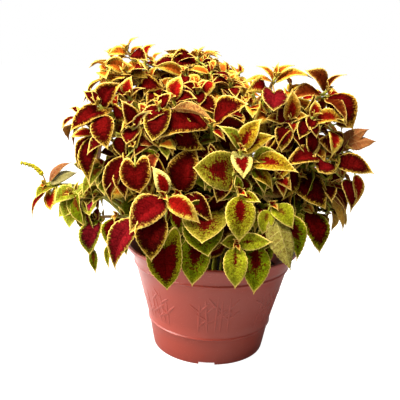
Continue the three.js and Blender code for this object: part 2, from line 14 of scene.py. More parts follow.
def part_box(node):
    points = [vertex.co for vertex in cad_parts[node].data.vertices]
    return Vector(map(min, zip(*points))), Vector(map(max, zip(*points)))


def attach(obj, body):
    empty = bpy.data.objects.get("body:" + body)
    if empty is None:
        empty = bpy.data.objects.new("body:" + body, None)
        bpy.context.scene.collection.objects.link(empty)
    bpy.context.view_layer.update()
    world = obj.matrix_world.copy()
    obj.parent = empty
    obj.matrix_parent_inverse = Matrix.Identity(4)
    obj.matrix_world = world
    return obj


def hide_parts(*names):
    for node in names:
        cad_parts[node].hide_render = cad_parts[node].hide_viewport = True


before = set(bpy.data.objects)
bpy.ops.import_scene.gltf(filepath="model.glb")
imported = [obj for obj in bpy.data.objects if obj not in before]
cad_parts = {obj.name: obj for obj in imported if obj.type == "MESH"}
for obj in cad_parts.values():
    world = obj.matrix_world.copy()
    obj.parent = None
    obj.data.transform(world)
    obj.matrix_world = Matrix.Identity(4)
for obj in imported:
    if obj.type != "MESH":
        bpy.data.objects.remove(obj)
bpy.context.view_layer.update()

MM = 0.001
pot_low, pot_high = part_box("pot")
AXIS = Vector(((pot_low.x + pot_high.x) / 2, (pot_low.y + pot_high.y) / 2, 0))

# ---- sizes, in millimetres

GAP = 0.35  # between two pieces that touch
POT_HEIGHT = 112
RIM_RADIUS = 90
FOOT_RADIUS = 58.6
WALL = 2.2
UPPER_RING, UPPER_RING_RADIUS = 92, 81.4
LOWER_RING, LOWER_RING_RADIUS = 30, 65
RING_PROUD = 1.1
RING_SWELL = 1.3  # the rings' crests, drawn this much prouder so that they catch the light
BAND_TOP_RADIUS = 86.6
LIP_HEIGHT = 3.4
FOOT_DEPTH = 3.2
FLOOR_THICKNESS = 2.2
POT_SIDES = 144
NOTCHES, NOTCH_SIZE = 4, (16, 14, 5.6)
DRAINS, DRAIN_RADIUS, DRAIN_CIRCLE = 5, 2.4, 38
CLUMPS, REEDS, REED_SPACING, REED_FOOT = 7, 5, 7, 37
REED_LENGTH, REED_LEAN, REED_LEAF_LEAN = (34, 46), (-9, 9), (34, 60)
REED_LEAVES = (-1, 1, 1)  # one on the one side of its reed and two on the other
SOIL_TOP, SOIL_RINGS, SOIL_SIDES = 80, 22, 72
CRUMBS, CRUMB_RADIUS = 220, (0.7, 2.1)

# Radii at the foot and at the end.
STEM, BRANCH, PETIOLE, STALK = (2.2, 1.4), (1.3, 1.0), (1.0, 0.6), (0.9, 0.5)

# Between the pairs of leaves on a front shoot, a back one, a side branch and low on a stem.
PAIR_SPACING, BACK_SPACING, BRANCH_SPACING, LOWER_SPACING = 3, 5, 4, 15
FIRST_PAIR = 0.7  # how far under the crown the first pair is, as a share of that
CROWN_SHARE = 0.8  # a crown's way back leads to the point at this share of its stem's length
BRANCH_START = (3, 5)  # how many steps of the stem under the crown a side branch leaves it
BRANCH_ASIDE = (14, 28)  # and how far beside the crown it ends
LOWER_PAIRS, LONGEST_LOWER = 6, 42  # the most pairs low on one stem, and their longest leaf
BUD_SHORT, BUD_LONG = (5, 8), (8, 11)  # the lengths of a bud's leaves, by turns
STEM_STEPS, THIN_STEPS = 14, 5  # along a stem, and along a side branch or a petiole
LEAF_THICKNESS = 0.45
FINE = (10, 26)  # faces across and along a large leaf
SMALL = (6, 14)  # and a small one
PLAIN = (4, 10)  # and one on a side branch
HIDDEN = (4, 8)  # and one inside the bush
YOUNG = (2, 5)  # and one in a bud
LARGE_BLADE = 19  # how long a leaf's blade is before it counts as large
VEINS = 7  # side veins along half a leaf
HEART_WIDTH = 0.7  # a blade wider than this, as a share of its length, is heart-shaped
LOBES = 0.34  # how far a heart's two lobes reach back past its petiole, as a share of the blade
CHEVRON = 0.5  # how far the side veins sweep towards the tip, as a share of the leaf's half width

# How leaves differ, each from the least to the most.
BOW = (0.12, 0.2)  # how high a leaf bows over the line to its tip, as a share of that line
SWAY = (-0.05, 0.05)  # and to one side of it
FOLD = (0.12, 0.46)  # how steeply its halves rise from the midrib
CURL = (-0.05, 0.2)  # how far its tip drops, as a share of the blade
HOOK = (-0.9, 0.9)  # how sharply its tip turns aside, in half widths
RUFFLE = (0.03, 0.08)  # how high its edge waves, as a share of the half width
LIGHT = (0.85, 1.15)  # how light its colours are

# ---- where the leaves are

HIGH_CROWN, TOP_CROWN, HIGH_BACK = 235, 262, 220  # over these a shoot is high, or at the top
SLIM, BROADER, BROADEST = 0.65, 1.2, 0.68  # a high shoot's slim leaves are drawn broader
BUSH_RADIUS = 125  # as far as the leaves inside the bush go
LOWEST_TIP, LOWEST_LEAF, LOWEST_BRANCH = POT_HEIGHT + 2, POT_HEIGHT + 4, POT_HEIGHT + 14
VALLEY_LEFT, VALLEY_RIGHT, VALLEY_FLOOR = 14, 50, 266  # the dip between the bush's two domes
FACE_ASIDE, FACE_DEPTH, FACE_HEIGHT = 0.45, 60, 110  # what the front shoots' leaves face away from

# Each shoot: its crown, then its leaves from the youngest down. A leaf is its tip's place from the
# crown, its petiole, its blade's width as a share of its length, its colouring and, where it is
# turned about its own line, by how many degrees.
FRONT_SHOOTS = {
    "front_1": ((-43, -100, 181), (-12, 5, 26, 2, 0.5, "V"), (32, -8, -20, 2, 0.5, "W"),
        (-28, -18, -27, 3, 0.66, "B"), (-9, -15, -54, 14, 0.66, "D", -6), (-46, -4, -68, 30, 0.46, "P", 8),
        (6, -8, -83, 38, 0.74, "K")),
    "front_2": ((-32, -82, 180), (14, 6, 45, 3, 0.62, "R"), (32, -20, -22, 4, 0.42, "D"),
        (14, -14, -34, 6, 0.5, "D")),
    "front_3": ((-8, -90, 166), (0, -32, -16, 2, 1.1, "S"), (-20, -10, 4, 2, 0.6, "G"),
        (3, -26, -31, 6, 1.0, "H"), (-8, -13, -65, 18, 0.58, "H")),
    "front_4": ((22, -96, 187), (1, -14, -40, 2, 0.65, "L"), (-4, 6, 16, 2, 0.5, "G"),
        (18, -6, -6, 2, 0.5, "L"), (-22, 6, -10, 4, 0.55, "G")),
    "front_5": ((21, -102, 143), (2, -8, -39, 2, 0.56, "T"), (31, -8, 5, 2, 0.5, "T"),
        (-12, -8, 2, 2, 0.8, "Y")),
    "front_6": ((38, -92, 146), (16, -10, 0, 2, 0.7, "H"), (1, -18, -46, 6, 0.58, "H"),
        (-14, 4, 6, 2, 0.6, "G")),
    "front_7": ((50, -90, 176), (19, -10, -17, 2, 0.7, "Y"), (-7, -10, -24, 5, 0.7, "Y"),
        (18, -16, -54, 10, 0.5, "X", 170), (27, 2, -52, 8, 0.42, "H")),
    "front_8": ((82, -58, 168), (18, -12, -41, 6, 0.62, "K"), (12, -2, -6, 2, 0.7, "O"),
        (-14, -10, -20, 3, 0.5, "G")),
    "middle_1": ((-72, -84, 221), (7, -16, -38, 16, 1.1, "R"), (-26, 8, -57, 10, 0.38, "D"),
        (22, 2, -18, 4, 0.6, "G")),
    "middle_2": ((-75, -78, 237), (-4, -9, -13, 1, 1.0, "R"), (18, -9, 17, 1, 0.25, "V", 60),
        (-10, -4, 24, 2, 0.42, "R"), (8, 10, 12, 2, 0.6, "D")),
    "middle_3": ((-92, -72, 231), (-25, -2, -20, 2, 0.5, "B"), (12, -10, -22, 4, 0.55, "D")),
    "middle_4": ((-52, -78, 256), (-2, -17, -28, 5, 0.85, "D"), (-15, -8, -14, 1, 0.75, "R"),
        (48, -6, -8, 12, 0.3, "N", -100), (10, 8, 12, 2, 0.6, "R")),
    "middle_5": ((-6, -72, 242), (32, -10, 20, 5, 0.62, "R"), (-45, -14, -13, 3, 0.58, "R"),
        (13, -10, -11, 4, 0.4, "W"), (34, 0, 0, 3, 0.45, "D")),
    "middle_6": ((21, -88, 223), (16, 6, 28, 2, 0.52, "J"), (-21, -4, 21, 2, 0.42, "Z"),
        (29, -5, 14, 2, 0.46, "J", 20), (4, -14, -20, 3, 0.86, "V")),
    "middle_7": ((30, -84, 212), (40, -16, -4, 3, 0.46, "J"), (28, -2, 6, 2, 0.62, "Z"),
        (14, -8, -26, 4, 0.5, "G")),
    "middle_8": ((17, -90, 204), (-35, -8, 4, 2, 1.0, "S", -12), (-14, -2, -28, 4, 0.6, "D"),
        (16, -4, -20, 4, 0.55, "K")),
    "right_1": ((54, -78, 198), (13, -8, -9, 1, 0.6, "W"), (7, -9, -16, 2, 0.5, "W"),
        (-14, -6, -11, 1, 0.6, "G"), (16, -2, 10, 2, 0.5, "J")),
    "right_2": ((104, -56, 213), (-13, -22, -9, 3, 1.1, "B"), (40, -6, -10, 6, 0.52, "D", 15),
        (-10, -8, 2, 1, 0.6, "W"), (-44, -24, -2, 12, 0.56, "R", 10), (27, 2, -50, 22, 0.5, "B")),
    "right_3": ((120, -44, 222), (-29, -16, 9, 2, 0.7, "R", -40), (26, -6, 7, 4, 0.55, "A", 180),
        (15, -4, -54, 24, 0.5, "W"), (14, -2, -12, 3, 0.7, "U", 150), (-24, -12, -8, 2, 0.42, "W"),
        (20, 2, 19, 3, 0.5, "A", 180)),
    "right_4": ((98, -42, 274), (16, 0, 16, 2, 0.22, "A"), (-23, -4, 17, 2, 0.66, "A", -20),
        (-35, -10, -9, 4, 0.5, "A"), (26, -8, -32, 4, 0.62, "R", 40), (19, -14, -25, 4, 0.42, "A")),
    "right_5": ((85, -60, 252), (1, 2, 15, 1, 0.6, "W"), (-4, -9, -11, 1, 0.95, "R"),
        (-13, -10, -19, 2, 0.75, "D"), (3, -8, -18, 2, 0.55, "R"), (33, 4, -6, 3, 0.4, "E"),
        (0, -6, -36, 8, 0.5, "D")),
    "right_6": ((65, -58, 248), (-4, -3, 8, 1, 0.6, "E"), (3, -8, -10, 1, 0.6, "W"),
        (16, -2, 4, 2, 0.5, "E"), (-8, -16, -27, 5, 0.68, "D"), (-24, -6, 0, 3, 0.5, "E"),
        (-1, -2, 28, 6, 0.45, "E")),
    "right_7": ((50, -48, 285), (2, 2, 13, 1, 0.3, "O"), (16, 2, 11, 1, 0.3, "O"),
        (-18, 2, 9, 1, 0.32, "O"), (-31, -4, -7, 2, 0.24, "O"), (33, 0, 3, 3, 0.32, "O"),
        (-3, -24, -29, 12, 1.05, "P"), (-4, -10, -42, 24, 0.6, "R"), (-17, -4, -37, 22, 0.6, "O")),
    "right_8": ((106, -46, 187), (20, -6, -25, 3, 0.42, "R"), (16, -8, -22, 4, 0.5, "A", 180),
        (17, -4, -43, 10, 0.36, "E", 180), (2, 14, -18, 5, 0.6, "G")),
    "right_9": ((76, -60, 196), (26, -12, -24, 3, 0.85, "D"), (-8, -6, -20, 3, 0.6, "G"),
        (-4, 10, 10, 2, 0.6, "D")),
    "top_1": ((-66, -38, 279), (7, 0, 11, 1, 0.5, "O"), (-17, -4, -3, 1, 0.5, "D"),
        (13, -12, -21, 2, 0.5, "R"), (-6, -14, -20, 3, 0.6, "D")),
    "top_2": ((-42, -28, 295), (-8, 0, 6, 1, 0.45, "O"), (19, -4, 4, 1, 0.5, "D"),
        (-20, -10, -3, 1, 0.75, "B", -30), (12, -14, -14, 2, 0.5, "R")),
    "top_3": ((-22, -24, 300), (6, -5, 9, 1, 0.62, "O"), (21, -4, 4, 2, 0.3, "O"),
        (-26, -12, -13, 2, 0.56, "R", -35), (14, -14, -16, 12, 0.8, "R"), (20, 8, -6, 3, 0.4, "D"),
        (-15, -16, -15, 2, 0.32, "O")),
    "top_4": ((-8, -6, 293), (13, 6, -1, 1, 0.4, "O"), (20, -6, -12, 2, 0.34, "O"),
        (26, 0, -18, 4, 0.45, "D"), (-8, 16, 2, 2, 0.5, "O")),
    "top_5": ((-41, -64, 261), (5, 8, 22, 2, 0.6, "W"), (21, -6, 4, 2, 0.6, "R"),
        (10, -12, -10, 2, 0.6, "R")),
    "top_6": ((-20, -58, 270), (3, -10, -12, 1, 0.98, "R"), (10, 2, 10, 1, 0.4, "W"),
        (18, -9, -18, 3, 0.85, "R"), (-14, -4, 6, 2, 0.6, "R")),
    "top_7": ((10, -38, 278), (5, 0, 9, 1, 0.5, "O"), (-19, -8, -1, 2, 0.48, "R"),
        (5, -14, -14, 2, 0.65, "R"), (14, -4, -4, 2, 0.6, "W"), (12, 2, -20, 4, 0.7, "W")),
    "top_8": ((-33, -40, 284), (-29, -4, 4, 2, 0.32, "O", -60), (2, -16, -12, 2, 0.6, "R"),
        (10, 8, 6, 2, 0.5, "O")),
    "left_1": ((-108, -64, 254), (-7, 0, 14, 1, 0.36, "R"), (-15, 4, 12, 2, 0.4, "R"),
        (20, -6, 20, 2, 0.7, "R", 35), (-24, -8, -22, 3, 0.72, "R"), (12, -22, -36, 8, 0.62, "R")),
    "left_2": ((-87, -42, 284), (-3, 2, 10, 1, 0.4, "O"), (-21, -4, 6, 2, 0.62, "O", -35),
        (-18, -8, -14, 3, 0.6, "O"), (20, -12, 4, 5, 0.6, "R"), (-15, -2, -5, 3, 0.55, "O"),
        (-6, -8, -14, 4, 0.6, "W"), (-8, 3, 9, 2, 0.5, "O")),
    "left_3": ((-81, -64, 263), (1, 3, 18, 1, 0.52, "W"), (14, -3, 9, 1, 0.3, "R"),
        (2, -9, -9, 1, 0.7, "R"), (-16, 0, 6, 2, 0.5, "R")),
    "left_4": ((-112, -60, 229), (-22, -2, -6, 2, 0.5, "W"), (-3, -14, -45, 3, 0.46, "D"),
        (-18, 4, -35, 3, 0.5, "D"), (-5, -6, 6, 1, 0.6, "R")),
    "left_5": ((-104, -54, 197), (3, -14, -26, 2, 0.55, "Z"), (-10, -18, -17, 3, 0.66, "Z"),
        (11, -2, 14, 2, 0.5, "T"), (-14, -6, -5, 2, 0.6, "L"), (-5, -12, -17, 3, 0.4, "N"),
        (-6, 2, -6, 2, 0.5, "Z"), (-22, -4, -29, 12, 0.5, "Z"), (-3, -20, -13, 4, 0.44, "Z"),
        (7, -14, -11, 3, 0.5, "Z")),
    "left_6": ((-120, -48, 167), (-5, 2, 12, 1, 0.4, "L"), (14, -4, 0, 1, 0.6, "Z"),
        (4, -18, -16, 5, 0.85, "M"), (-11, -6, -4, 1, 0.5, "L"), (10, -6, -13, 1, 0.5, "W"),
        (-7, -8, -17, 2, 0.4, "L"), (10, -8, -28, 14, 0.5, "P"), (-12, -4, -1, 2, 0.6, "Z"),
        (6, -10, -2, 1, 0.5, "R"), (-4, -2, 5, 2, 0.6, "Z"), (7, -14, -5, 2, 0.6, "L")),
    "left_7": ((-138, -42, 167), (0, -8, -34, 2, 0.75, "Z"), (15, -20, -28, 2, 0.6, "G", 25),
        (25, -17, -41, 8, 0.6, "Q", 25), (6, 2, 12, 1, 0.4, "L"), (-17, -4, -11, 2, 0.7, "Z"),
        (0, -8, -20, 2, 0.6, "Z"), (15, -14, -32, 4, 0.5, "L"), (-14, -2, -25, 2, 0.8, "Z"),
        (-6, 2, -6, 2, 0.6, "L"), (8, -10, -10, 2, 0.5, "Z")),
    "left_8": ((-110, -54, 147), (-12, -6, -9, 2, 0.8, "G"), (-6, -10, -36, 3, 0.66, "Q"),
        (-1, -5, -55, 30, 0.42, "G"), (5, 2, 8, 1, 0.4, "L")),
    "left_9": ((-88, -68, 153), (-8, -8, -28, 2, 0.62, "K"), (-8, -5, -52, 28, 0.26, "T"),
        (-1, 2, 8, 1, 0.4, "L"), (8, -4, -37, 22, 0.4, "G")),
    "left_spike": ((-166, -30, 170), (26, -3, 25, 4, 0.34, "A", 180), (34, -2, 12, 3, 0.42, "U", 180),
        (-9, -10, -9, 1, 0.8, "Z"), (6, -10, -23, 8, 1.0, "W"), (-16, -3, -36, 10, 0.22, "B"),
        (13, -6, -10, 1, 0.7, "Z")),
    "crown_left": ((-88, -30, 302), (10, -6, 13, 1, 0.46, "O"), (-17, -4, -4, 1, 0.52, "O", -30),
        (21, -14, -7, 3, 0.66, "R", 25), (14, 6, 5, 2, 0.4, "O"), (-7, -6, -8, 3, 0.45, "O"),
        (13, -4, -13, 4, 0.5, "W")),
}

# The shoots at the sides and the back: bearing, reach and height of the crown, and first turn.
BACK_SHOOTS = (
    (8, 122, 168, 0), (44, 116, 160, 50), (84, 112, 164, 20), (124, 118, 158, 70), (166, 132, 170, 35),
    (16, 104, 232, 60), (58, 92, 226, 15), (100, 90, 232, 65), (140, 104, 238, 30), (176, 112, 262, 80),
    (40, 56, 232, 40), (128, 60, 286, 10), (110, 22, 276, 30), (92, 54, 258, 75),
)
# Opening from the stem's line in degrees, droop, petiole, blade and width of each pair.
BACK_PAIRS = ((46, 0.05, 3, 27, 0.58), (76, 0.25, 6, 40, 0.66), (100, 0.45, 9, 46, 0.66))
# Opening, and the shortest and longest leaf, of each pair on a side branch.
BRANCH_PAIRS = ((48, 12, 17), (78, 20, 27), (100, 26, 34))
SPIKE_BEND, SPIKE_TIP = (-4, -2, 22), (-25, -4, 22)
SPIKE_STEPS, FIRST_WHORL, BUDS, BUD_SIZES, BUD_SHRINK = 20, 6, 5, (2.3, 2.7), 0.05

# ---- colours


def tint(red, green, blue):
    """A colour as painters' values from 0 to 255, for shaders that work in linear light."""
    shares = (red / 255, green / 255, blue / 255)
    return tuple(((c + 0.055) / 1.055) ** 2.4 if c > 0.0404 else c / 12.92 for c in shares)


# Heart, field, margin and underside; then how far the heart reaches from the midrib, how speckled
# the field is, and how wide the margin is. The reach and the width are shares of the half width. R
# is red, B bright red, D dark red, K and Q dark in lime, P crimson, W and V red in broad gold and
# cream, M pink, L lime, S speckled, T and Y pale lime, U grey, X olive, H and G green, O orange, N
# tan, E and J russet, A bronze and Z pale green.
PAINTS = {
    "R": ((86, 8, 7), (57, 6, 4), (186, 142, 44), (190, 118, 38), 0.5, 0.2, 0.085),
    "B": ((102, 11, 13), (69, 7, 7), (200, 162, 66), (194, 130, 54), 0.6, 0.2, 0.09),
    "D": ((74, 7, 6), (48, 5, 4), (162, 130, 36), (150, 98, 32), 0.5, 0.2, 0.085),
    "K": ((82, 7, 6), (53, 5, 4), (112, 116, 14), (116, 104, 26), 0.5, 0.7, 0.2),
    "P": ((106, 16, 21), (78, 9, 12), (158, 142, 56), (136, 90, 46), 0.6, 0.2, 0.06),
    "Q": ((84, 12, 18), (54, 7, 11), (118, 126, 26), (122, 124, 44), 0.6, 0.3, 0.14),
    "W": ((130, 17, 11), (130, 35, 13), (204, 172, 64), (204, 162, 62), 0.5, 0.3, 0.24),
    "V": ((110, 12, 8), (102, 28, 10), (216, 198, 112), (202, 188, 100), 0.5, 0.4, 0.36),
    "M": ((166, 28, 66), (126, 56, 30), (142, 148, 40), (160, 160, 66), 0.5, 0.25, 0.5),
    "L": ((86, 8, 6), (134, 130, 22), (184, 174, 60), (166, 162, 54), 0.3, 0.8, 0.08),
    "S": ((70, 7, 5), (102, 96, 20), (148, 136, 48), (144, 144, 48), 0.36, 1.0, 0.08),
    "T": ((88, 14, 8), (134, 140, 24), (176, 172, 54), (164, 170, 54), 0.12, 0.5, 0.07),
    "Y": ((108, 72, 16), (136, 140, 24), (172, 168, 52), (168, 172, 64), 0.2, 0.3, 0.07),
    "U": ((128, 118, 36), (112, 104, 40), (144, 138, 60), (126, 118, 74), 0.2, 0.1, 0.1),
    "X": ((76, 50, 16), (98, 94, 26), (140, 132, 46), (128, 120, 54), 0.5, 0.9, 0.1),
    "H": ((70, 8, 5), (92, 106, 8), (136, 140, 24), (124, 132, 38), 0.35, 0.9, 0.08),
    "G": ((80, 38, 8), (86, 100, 8), (128, 132, 18), (116, 126, 30), 0.3, 0.7, 0.08),
    "O": ((176, 88, 24), (184, 134, 36), (208, 180, 68), (192, 148, 52), 0.5, 0.5, 0.26),
    "N": ((120, 44, 20), (158, 92, 36), (204, 164, 84), (194, 148, 76), 0.5, 0.9, 0.14),
    "E": ((110, 18, 8), (142, 100, 26), (198, 162, 56), (170, 132, 50), 0.45, 0.4, 0.16),
    "J": ((100, 14, 8), (150, 124, 24), (196, 168, 54), (172, 146, 52), 0.34, 0.8, 0.1),
    "A": ((84, 28, 6), (98, 42, 12), (178, 130, 54), (128, 78, 38), 0.5, 0.2, 0.12),
    "Z": ((110, 56, 14), (116, 124, 26), (166, 172, 60), (142, 148, 54), 0.25, 0.7, 0.1),
    "bud": ((140, 24, 10), (160, 110, 28), (200, 168, 58), (176, 150, 50), 0.5, 0.3, 0.3),
}
COLOURINGS = {kind: (*(tint(*paint) for paint in row[:4]), *row[4:]) for kind, row in PAINTS.items()}
BARE_KINDS = "AU"  # colourings that a shoot's side branches leave out
BRANCH_KINDS = {"top": "WOEOWR", "high": "RWEOZD", "low": ""}
# The colourings of the leaves low on a stem, inside the bush; below the top mostly dark ones, partly the
# leaves' own colour and partly painted shade.
LOWER_KINDS = {"top": "OWROEE", "high": "DRDODN", "low": "DDKGDH"}

# A flower bud's own measures and colours, in the same layers as a leaf's.
SPIKE_YELLOW = (*tint(192, 180, 40), 0)
SPIKE_COLOURS = ((0.5, 0.5, 0.5, 0), (0, 0, 0, 9), SPIKE_YELLOW, SPIKE_YELLOW, SPIKE_YELLOW, SPIKE_YELLOW)

# ---- materials

LEAF_LAYERS = ("leaf_place", "leaf_spot", "leaf_heart", "leaf_field", "leaf_margin", "leaf_under")


class Recipe:
    """A material or the world in the making, up to its last node, which gives the look."""

    def __init__(self, owner, last):
        owner.use_nodes = True
        self.owner = owner
        self.tree = owner.node_tree
        self.last = self.tree.nodes[last]

    def feed(self, node, inputs):
        """Sets each input to a number, a row of them or a colour, or joins it to another output."""
        for name, given in inputs.items():
            socket = node.inputs[name]
            if isinstance(given, (int, float)):
                socket.default_value = given
            elif isinstance(given, tuple):
                socket.default_value = (*given, 1)[:len(socket.default_value)]
            else:
                self.tree.links.new(given, socket)

    def node(self, kind, inputs, **settings):
        """A new node's outputs."""
        node = self.tree.nodes.new(f"ShaderNode{kind}")
        for name, setting in settings.items():
            setattr(node, name, setting)
        self.feed(node, inputs)
        return node.outputs

    def calc(self, operation, *inputs):
        return self.node("Math", dict(enumerate(inputs)), operation=operation)[0]

    def fade(self, given, low, high):
        """0 at low and 1 at high, with a soft step between."""
        span = {"Value": given, "From Min": low, "From Max": high}
        return self.node("MapRange", span, interpolation_type="SMOOTHSTEP")["Result"]

    def blend(self, share, first, second, mode="MIX"):
        inputs = {0: share, 6: first, 7: second}
        return self.node("Mix", inputs, data_type="RGBA", blend_type=mode)[2]

    def shaded(self, colour, where, strength, by):
        """The colour, multiplied by another where a mask says so."""
        return self.blend(self.calc("MULTIPLY", where, strength), colour, by, "MULTIPLY")

    def grain(self, place, scale, detail=2, rough=0.5):
        inputs = {"Vector": place, "Scale": scale, "Detail": detail, "Roughness": rough}
        return self.node("TexNoise", inputs)["Fac"]

    def place(self, kind="Object"):
        return self.node("TexCoord", {})[kind]

    def finish(self, inputs, height, strength, distance):
        """Gives the last node its inputs, and a surface raised by the height. Returns the material."""
        bump = self.node("Bump", {"Height": height, "Strength": strength, "Distance": distance})
        self.feed(self.last, {**inputs, "Normal": bump["Normal"]})
        return self.owner


def paint(name):
    return Recipe(bpy.data.materials.new(name), "Principled BSDF")


def leaf_parts(leaf):
    """What both faces of a leaf share: its own measures, its veins, its grain and its colours."""
    place, spot, *colours = (leaf.node("Attribute", {}, attribute_name=name) for name in LEAF_LAYERS)
    across, along, edge = leaf.node("SeparateColor", {0: place["Color"]})
    part = {"along": along, "edge": edge, "seed": place["Alpha"]}
    part["spot"], part["rim"] = spot["Vector"], spot["Alpha"]
    cycle = leaf.calc("FRACT", leaf.calc("MULTIPLY", along, VEINS))
    part["vein"] = leaf.fade(leaf.calc("ABSOLUTE", leaf.calc("SUBTRACT", cycle, 0.5)), 0.42, 0.5)
    part["off"] = leaf.calc("ABSOLUTE", across)
    part["midrib"] = leaf.fade(part["off"], 0.07, 0.0)
    part["fine"] = leaf.grain(part["spot"], 0.75, 3, 0.65)
    part["cell"] = leaf.fade(leaf.grain(part["spot"], 0.6, 3, 0.75), 0.35, 0.65)
    return part, colours


def feathered(leaf, part):
    """Grain drawn out from the midrib to the edge."""
    off, along = leaf.calc("MULTIPLY", part["off"], 1.6), leaf.calc("MULTIPLY", part["along"], 34)
    return leaf.grain(leaf.node("CombineXYZ", {0: off, 1: along, 2: part["seed"]})[0], 1.0, 2, 0.6)


def leaf_top():
    """Red or lime to the very veins, with a ragged, speckled margin of gold."""
    leaf = paint("leaf_top")
    part, (heart, field, margin, under) = leaf_parts(leaf)
    ragged = leaf.calc("MULTIPLY", leaf.calc("SUBTRACT", part["fine"], 0.5), 0.8)
    feather = leaf.calc("MULTIPLY", leaf.calc("SUBTRACT", feathered(leaf, part), 0.5), 0.45)
    rough_edge = leaf.calc("ADD", part["edge"], leaf.calc("ADD", ragged, feather))
    inside = leaf.fade(leaf.calc("SUBTRACT", rough_edge, margin["Alpha"]), -0.08, 0.12)
    in_heart = leaf.fade(leaf.calc("ADD", rough_edge, heart["Alpha"]), 0.9, 1.02)
    centre = leaf.blend(in_heart, field["Color"], heart["Color"])
    dots = leaf.fade(leaf.grain(part["spot"], 0.62), 0.52, 0.57)
    dotted = leaf.calc("MULTIPLY", dots, field["Alpha"])
    dotted = leaf.calc("MULTIPLY", dotted, leaf.fade(part["edge"], 0.06, 0.4))
    centre = leaf.blend(dotted, centre, heart["Color"])
    colour = leaf.blend(inside, margin["Color"], centre)
    colour = leaf.shaded(colour, part["cell"], 0.75, (0.36, 0.31, 0.28))
    colour = leaf.shaded(colour, part["vein"], 0.1, (0.35, 0.3, 0.25))
    colour = leaf.shaded(colour, part["midrib"], 0.35, (0.45, 0.35, 0.2))
    # Painted shade: broad soft patches where the leaf is darkened, as though parts of it lay in shadow.
    painted_shade = leaf.fade(leaf.grain(part["spot"], 0.16), 0.3, 0.7)
    colour = leaf.shaded(colour, painted_shade, 0.5, (0.45, 0.4, 0.4))
    # The pale line along the very edge: partly the leaf's own pale edge, partly a painted highlight of
    # light shining through the thin edge.
    rim = leaf.calc("MULTIPLY", leaf.fade(part["rim"], 0.85, 0.25), under["Alpha"])
    colour = leaf.blend(rim, colour, tint(212, 180, 96))
    quilt = leaf.calc("SUBTRACT", part["fine"], leaf.calc("MULTIPLY", part["vein"], 0.8))
    inputs = {"Base Color": colour, "Roughness": 0.42, "Specular IOR Level": 0}
    return leaf.finish(inputs, quilt, 0.6, 0.0012)


def leaf_under():
    """The paler underside, with its veins standing out."""
    leaf = paint("leaf_under")
    part, (heart, field, _, under) = leaf_parts(leaf)
    colour = leaf.blend(leaf.fade(part["edge"], 0.1, 0.6), under["Color"], field["Color"])
    colour = leaf.blend(0.6, colour, under["Color"])
    pale = leaf.calc("MAXIMUM", part["vein"], part["midrib"])
    colour = leaf.shaded(colour, part["cell"], 0.65, (0.5, 0.46, 0.36))
    dots = leaf.fade(leaf.grain(part["spot"], 0.4, 3, 0.7), 0.5, 0.56)
    dotted = leaf.calc("MULTIPLY", dots, leaf.calc("MULTIPLY", field["Alpha"], 0.75))
    colour = leaf.blend(dotted, colour, heart["Color"])
    colour = leaf.blend(leaf.calc("MULTIPLY", pale, 0.16), colour, tint(212, 196, 126))
    inputs = {"Base Color": colour, "Roughness": 0.6, "Specular IOR Level": 0.05}
    return leaf.finish(inputs, leaf.calc("ADD", pale, part["fine"]), 0.5, 0.0005)


def stem_skin():
    """Translucent lime green, streaked along its length and flecked with red."""
    stem = paint("stem_skin")
    place = stem.place()
    streak = stem.grain(stem.node("Mapping", {"Vector": place, "Scale": (1, 1, 0.2)})[0], 900)
    colour = stem.blend(streak, tint(124, 126, 20), tint(176, 174, 48))
    colour = stem.blend(stem.fade(stem.grain(place, 60), 0.52, 0.7), colour, tint(134, 84, 34))
    inputs = {"Base Color": colour, "Roughness": 0.45}
    inputs |= {"Subsurface Weight": 0.15, "Subsurface Radius": (0.002, 0.003, 0.001)}
    return stem.finish(inputs, streak, 0.3, 0.0003)


def pot_plastic():
    """Satin terracotta plastic, a little cloudy, with fine scuffs and paler flecks."""
    pot = paint("pot_plastic")
    place = pot.place()
    fleck = pot.grain(place, 700, 2, 0.6)
    colour = pot.blend(pot.grain(place, 18, 3, 0.6), tint(133, 42, 26), tint(143, 50, 33))
    colour = pot.blend(pot.fade(fleck, 0.62, 0.8), colour, tint(168, 84, 70))
    scuff = {"Value": pot.grain(place, 160, 3, 0.65), "To Min": 0.32, "To Max": 0.46}
    rough = pot.node("MapRange", scuff)["Result"]
    inputs = {"Base Color": colour, "Roughness": rough, "Specular IOR Level": 0.6}
    return pot.finish(inputs, fleck, 0.12, 0.0002)


def potting_soil():
    """Damp dark potting mix."""
    soil = paint("potting_soil")
    place = soil.place()
    lump = soil.grain(place, 130, 4, 0.7)
    colour = soil.blend(lump, tint(34, 22, 15), tint(84, 60, 42))
    chip = soil.fade(soil.grain(place, 420, 3, 0.6), 0.6, 0.75)
    colour = soil.blend(chip, colour, tint(128, 100, 72))
    return soil.finish({"Base Color": colour, "Roughness": 0.92}, lump, 0.9, 0.003)


FOLIAGE = (leaf_top(), leaf_under(), stem_skin())
ON_TOP, BELOW, ON_STEM = 0, 1, 2  # which of these a face has

# ---- meshes


def as_mesh(bm, name):
    mesh = bpy.data.meshes.new(name)
    bm.to_mesh(mesh)
    bm.free()
    return mesh


def placed(name, data):
    thing = bpy.data.objects.new(name, data)
    bpy.context.scene.collection.objects.link(thing)
    return thing


def finished(name, bm, materials, node):
    """Brings the piece to its place and size in the model, hangs it under the root and hides the part it
    takes the place of.
    """
    bmesh.ops.scale(bm, vec=(MM, MM, MM), verts=bm.verts[:])
    bmesh.ops.translate(bm, vec=AXIS, verts=bm.verts[:])
    piece = placed(name, as_mesh(bm, name))
    for material in materials:
        piece.data.materials.append(material)
    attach(piece, "root")
    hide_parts(node)


def add_layers(bm):
    for name in LEAF_LAYERS:
        bm.verts.layers.float_color.new(name)


def layers_of(bm):
    return [bm.verts.layers.float_color[name] for name in LEAF_LAYERS]


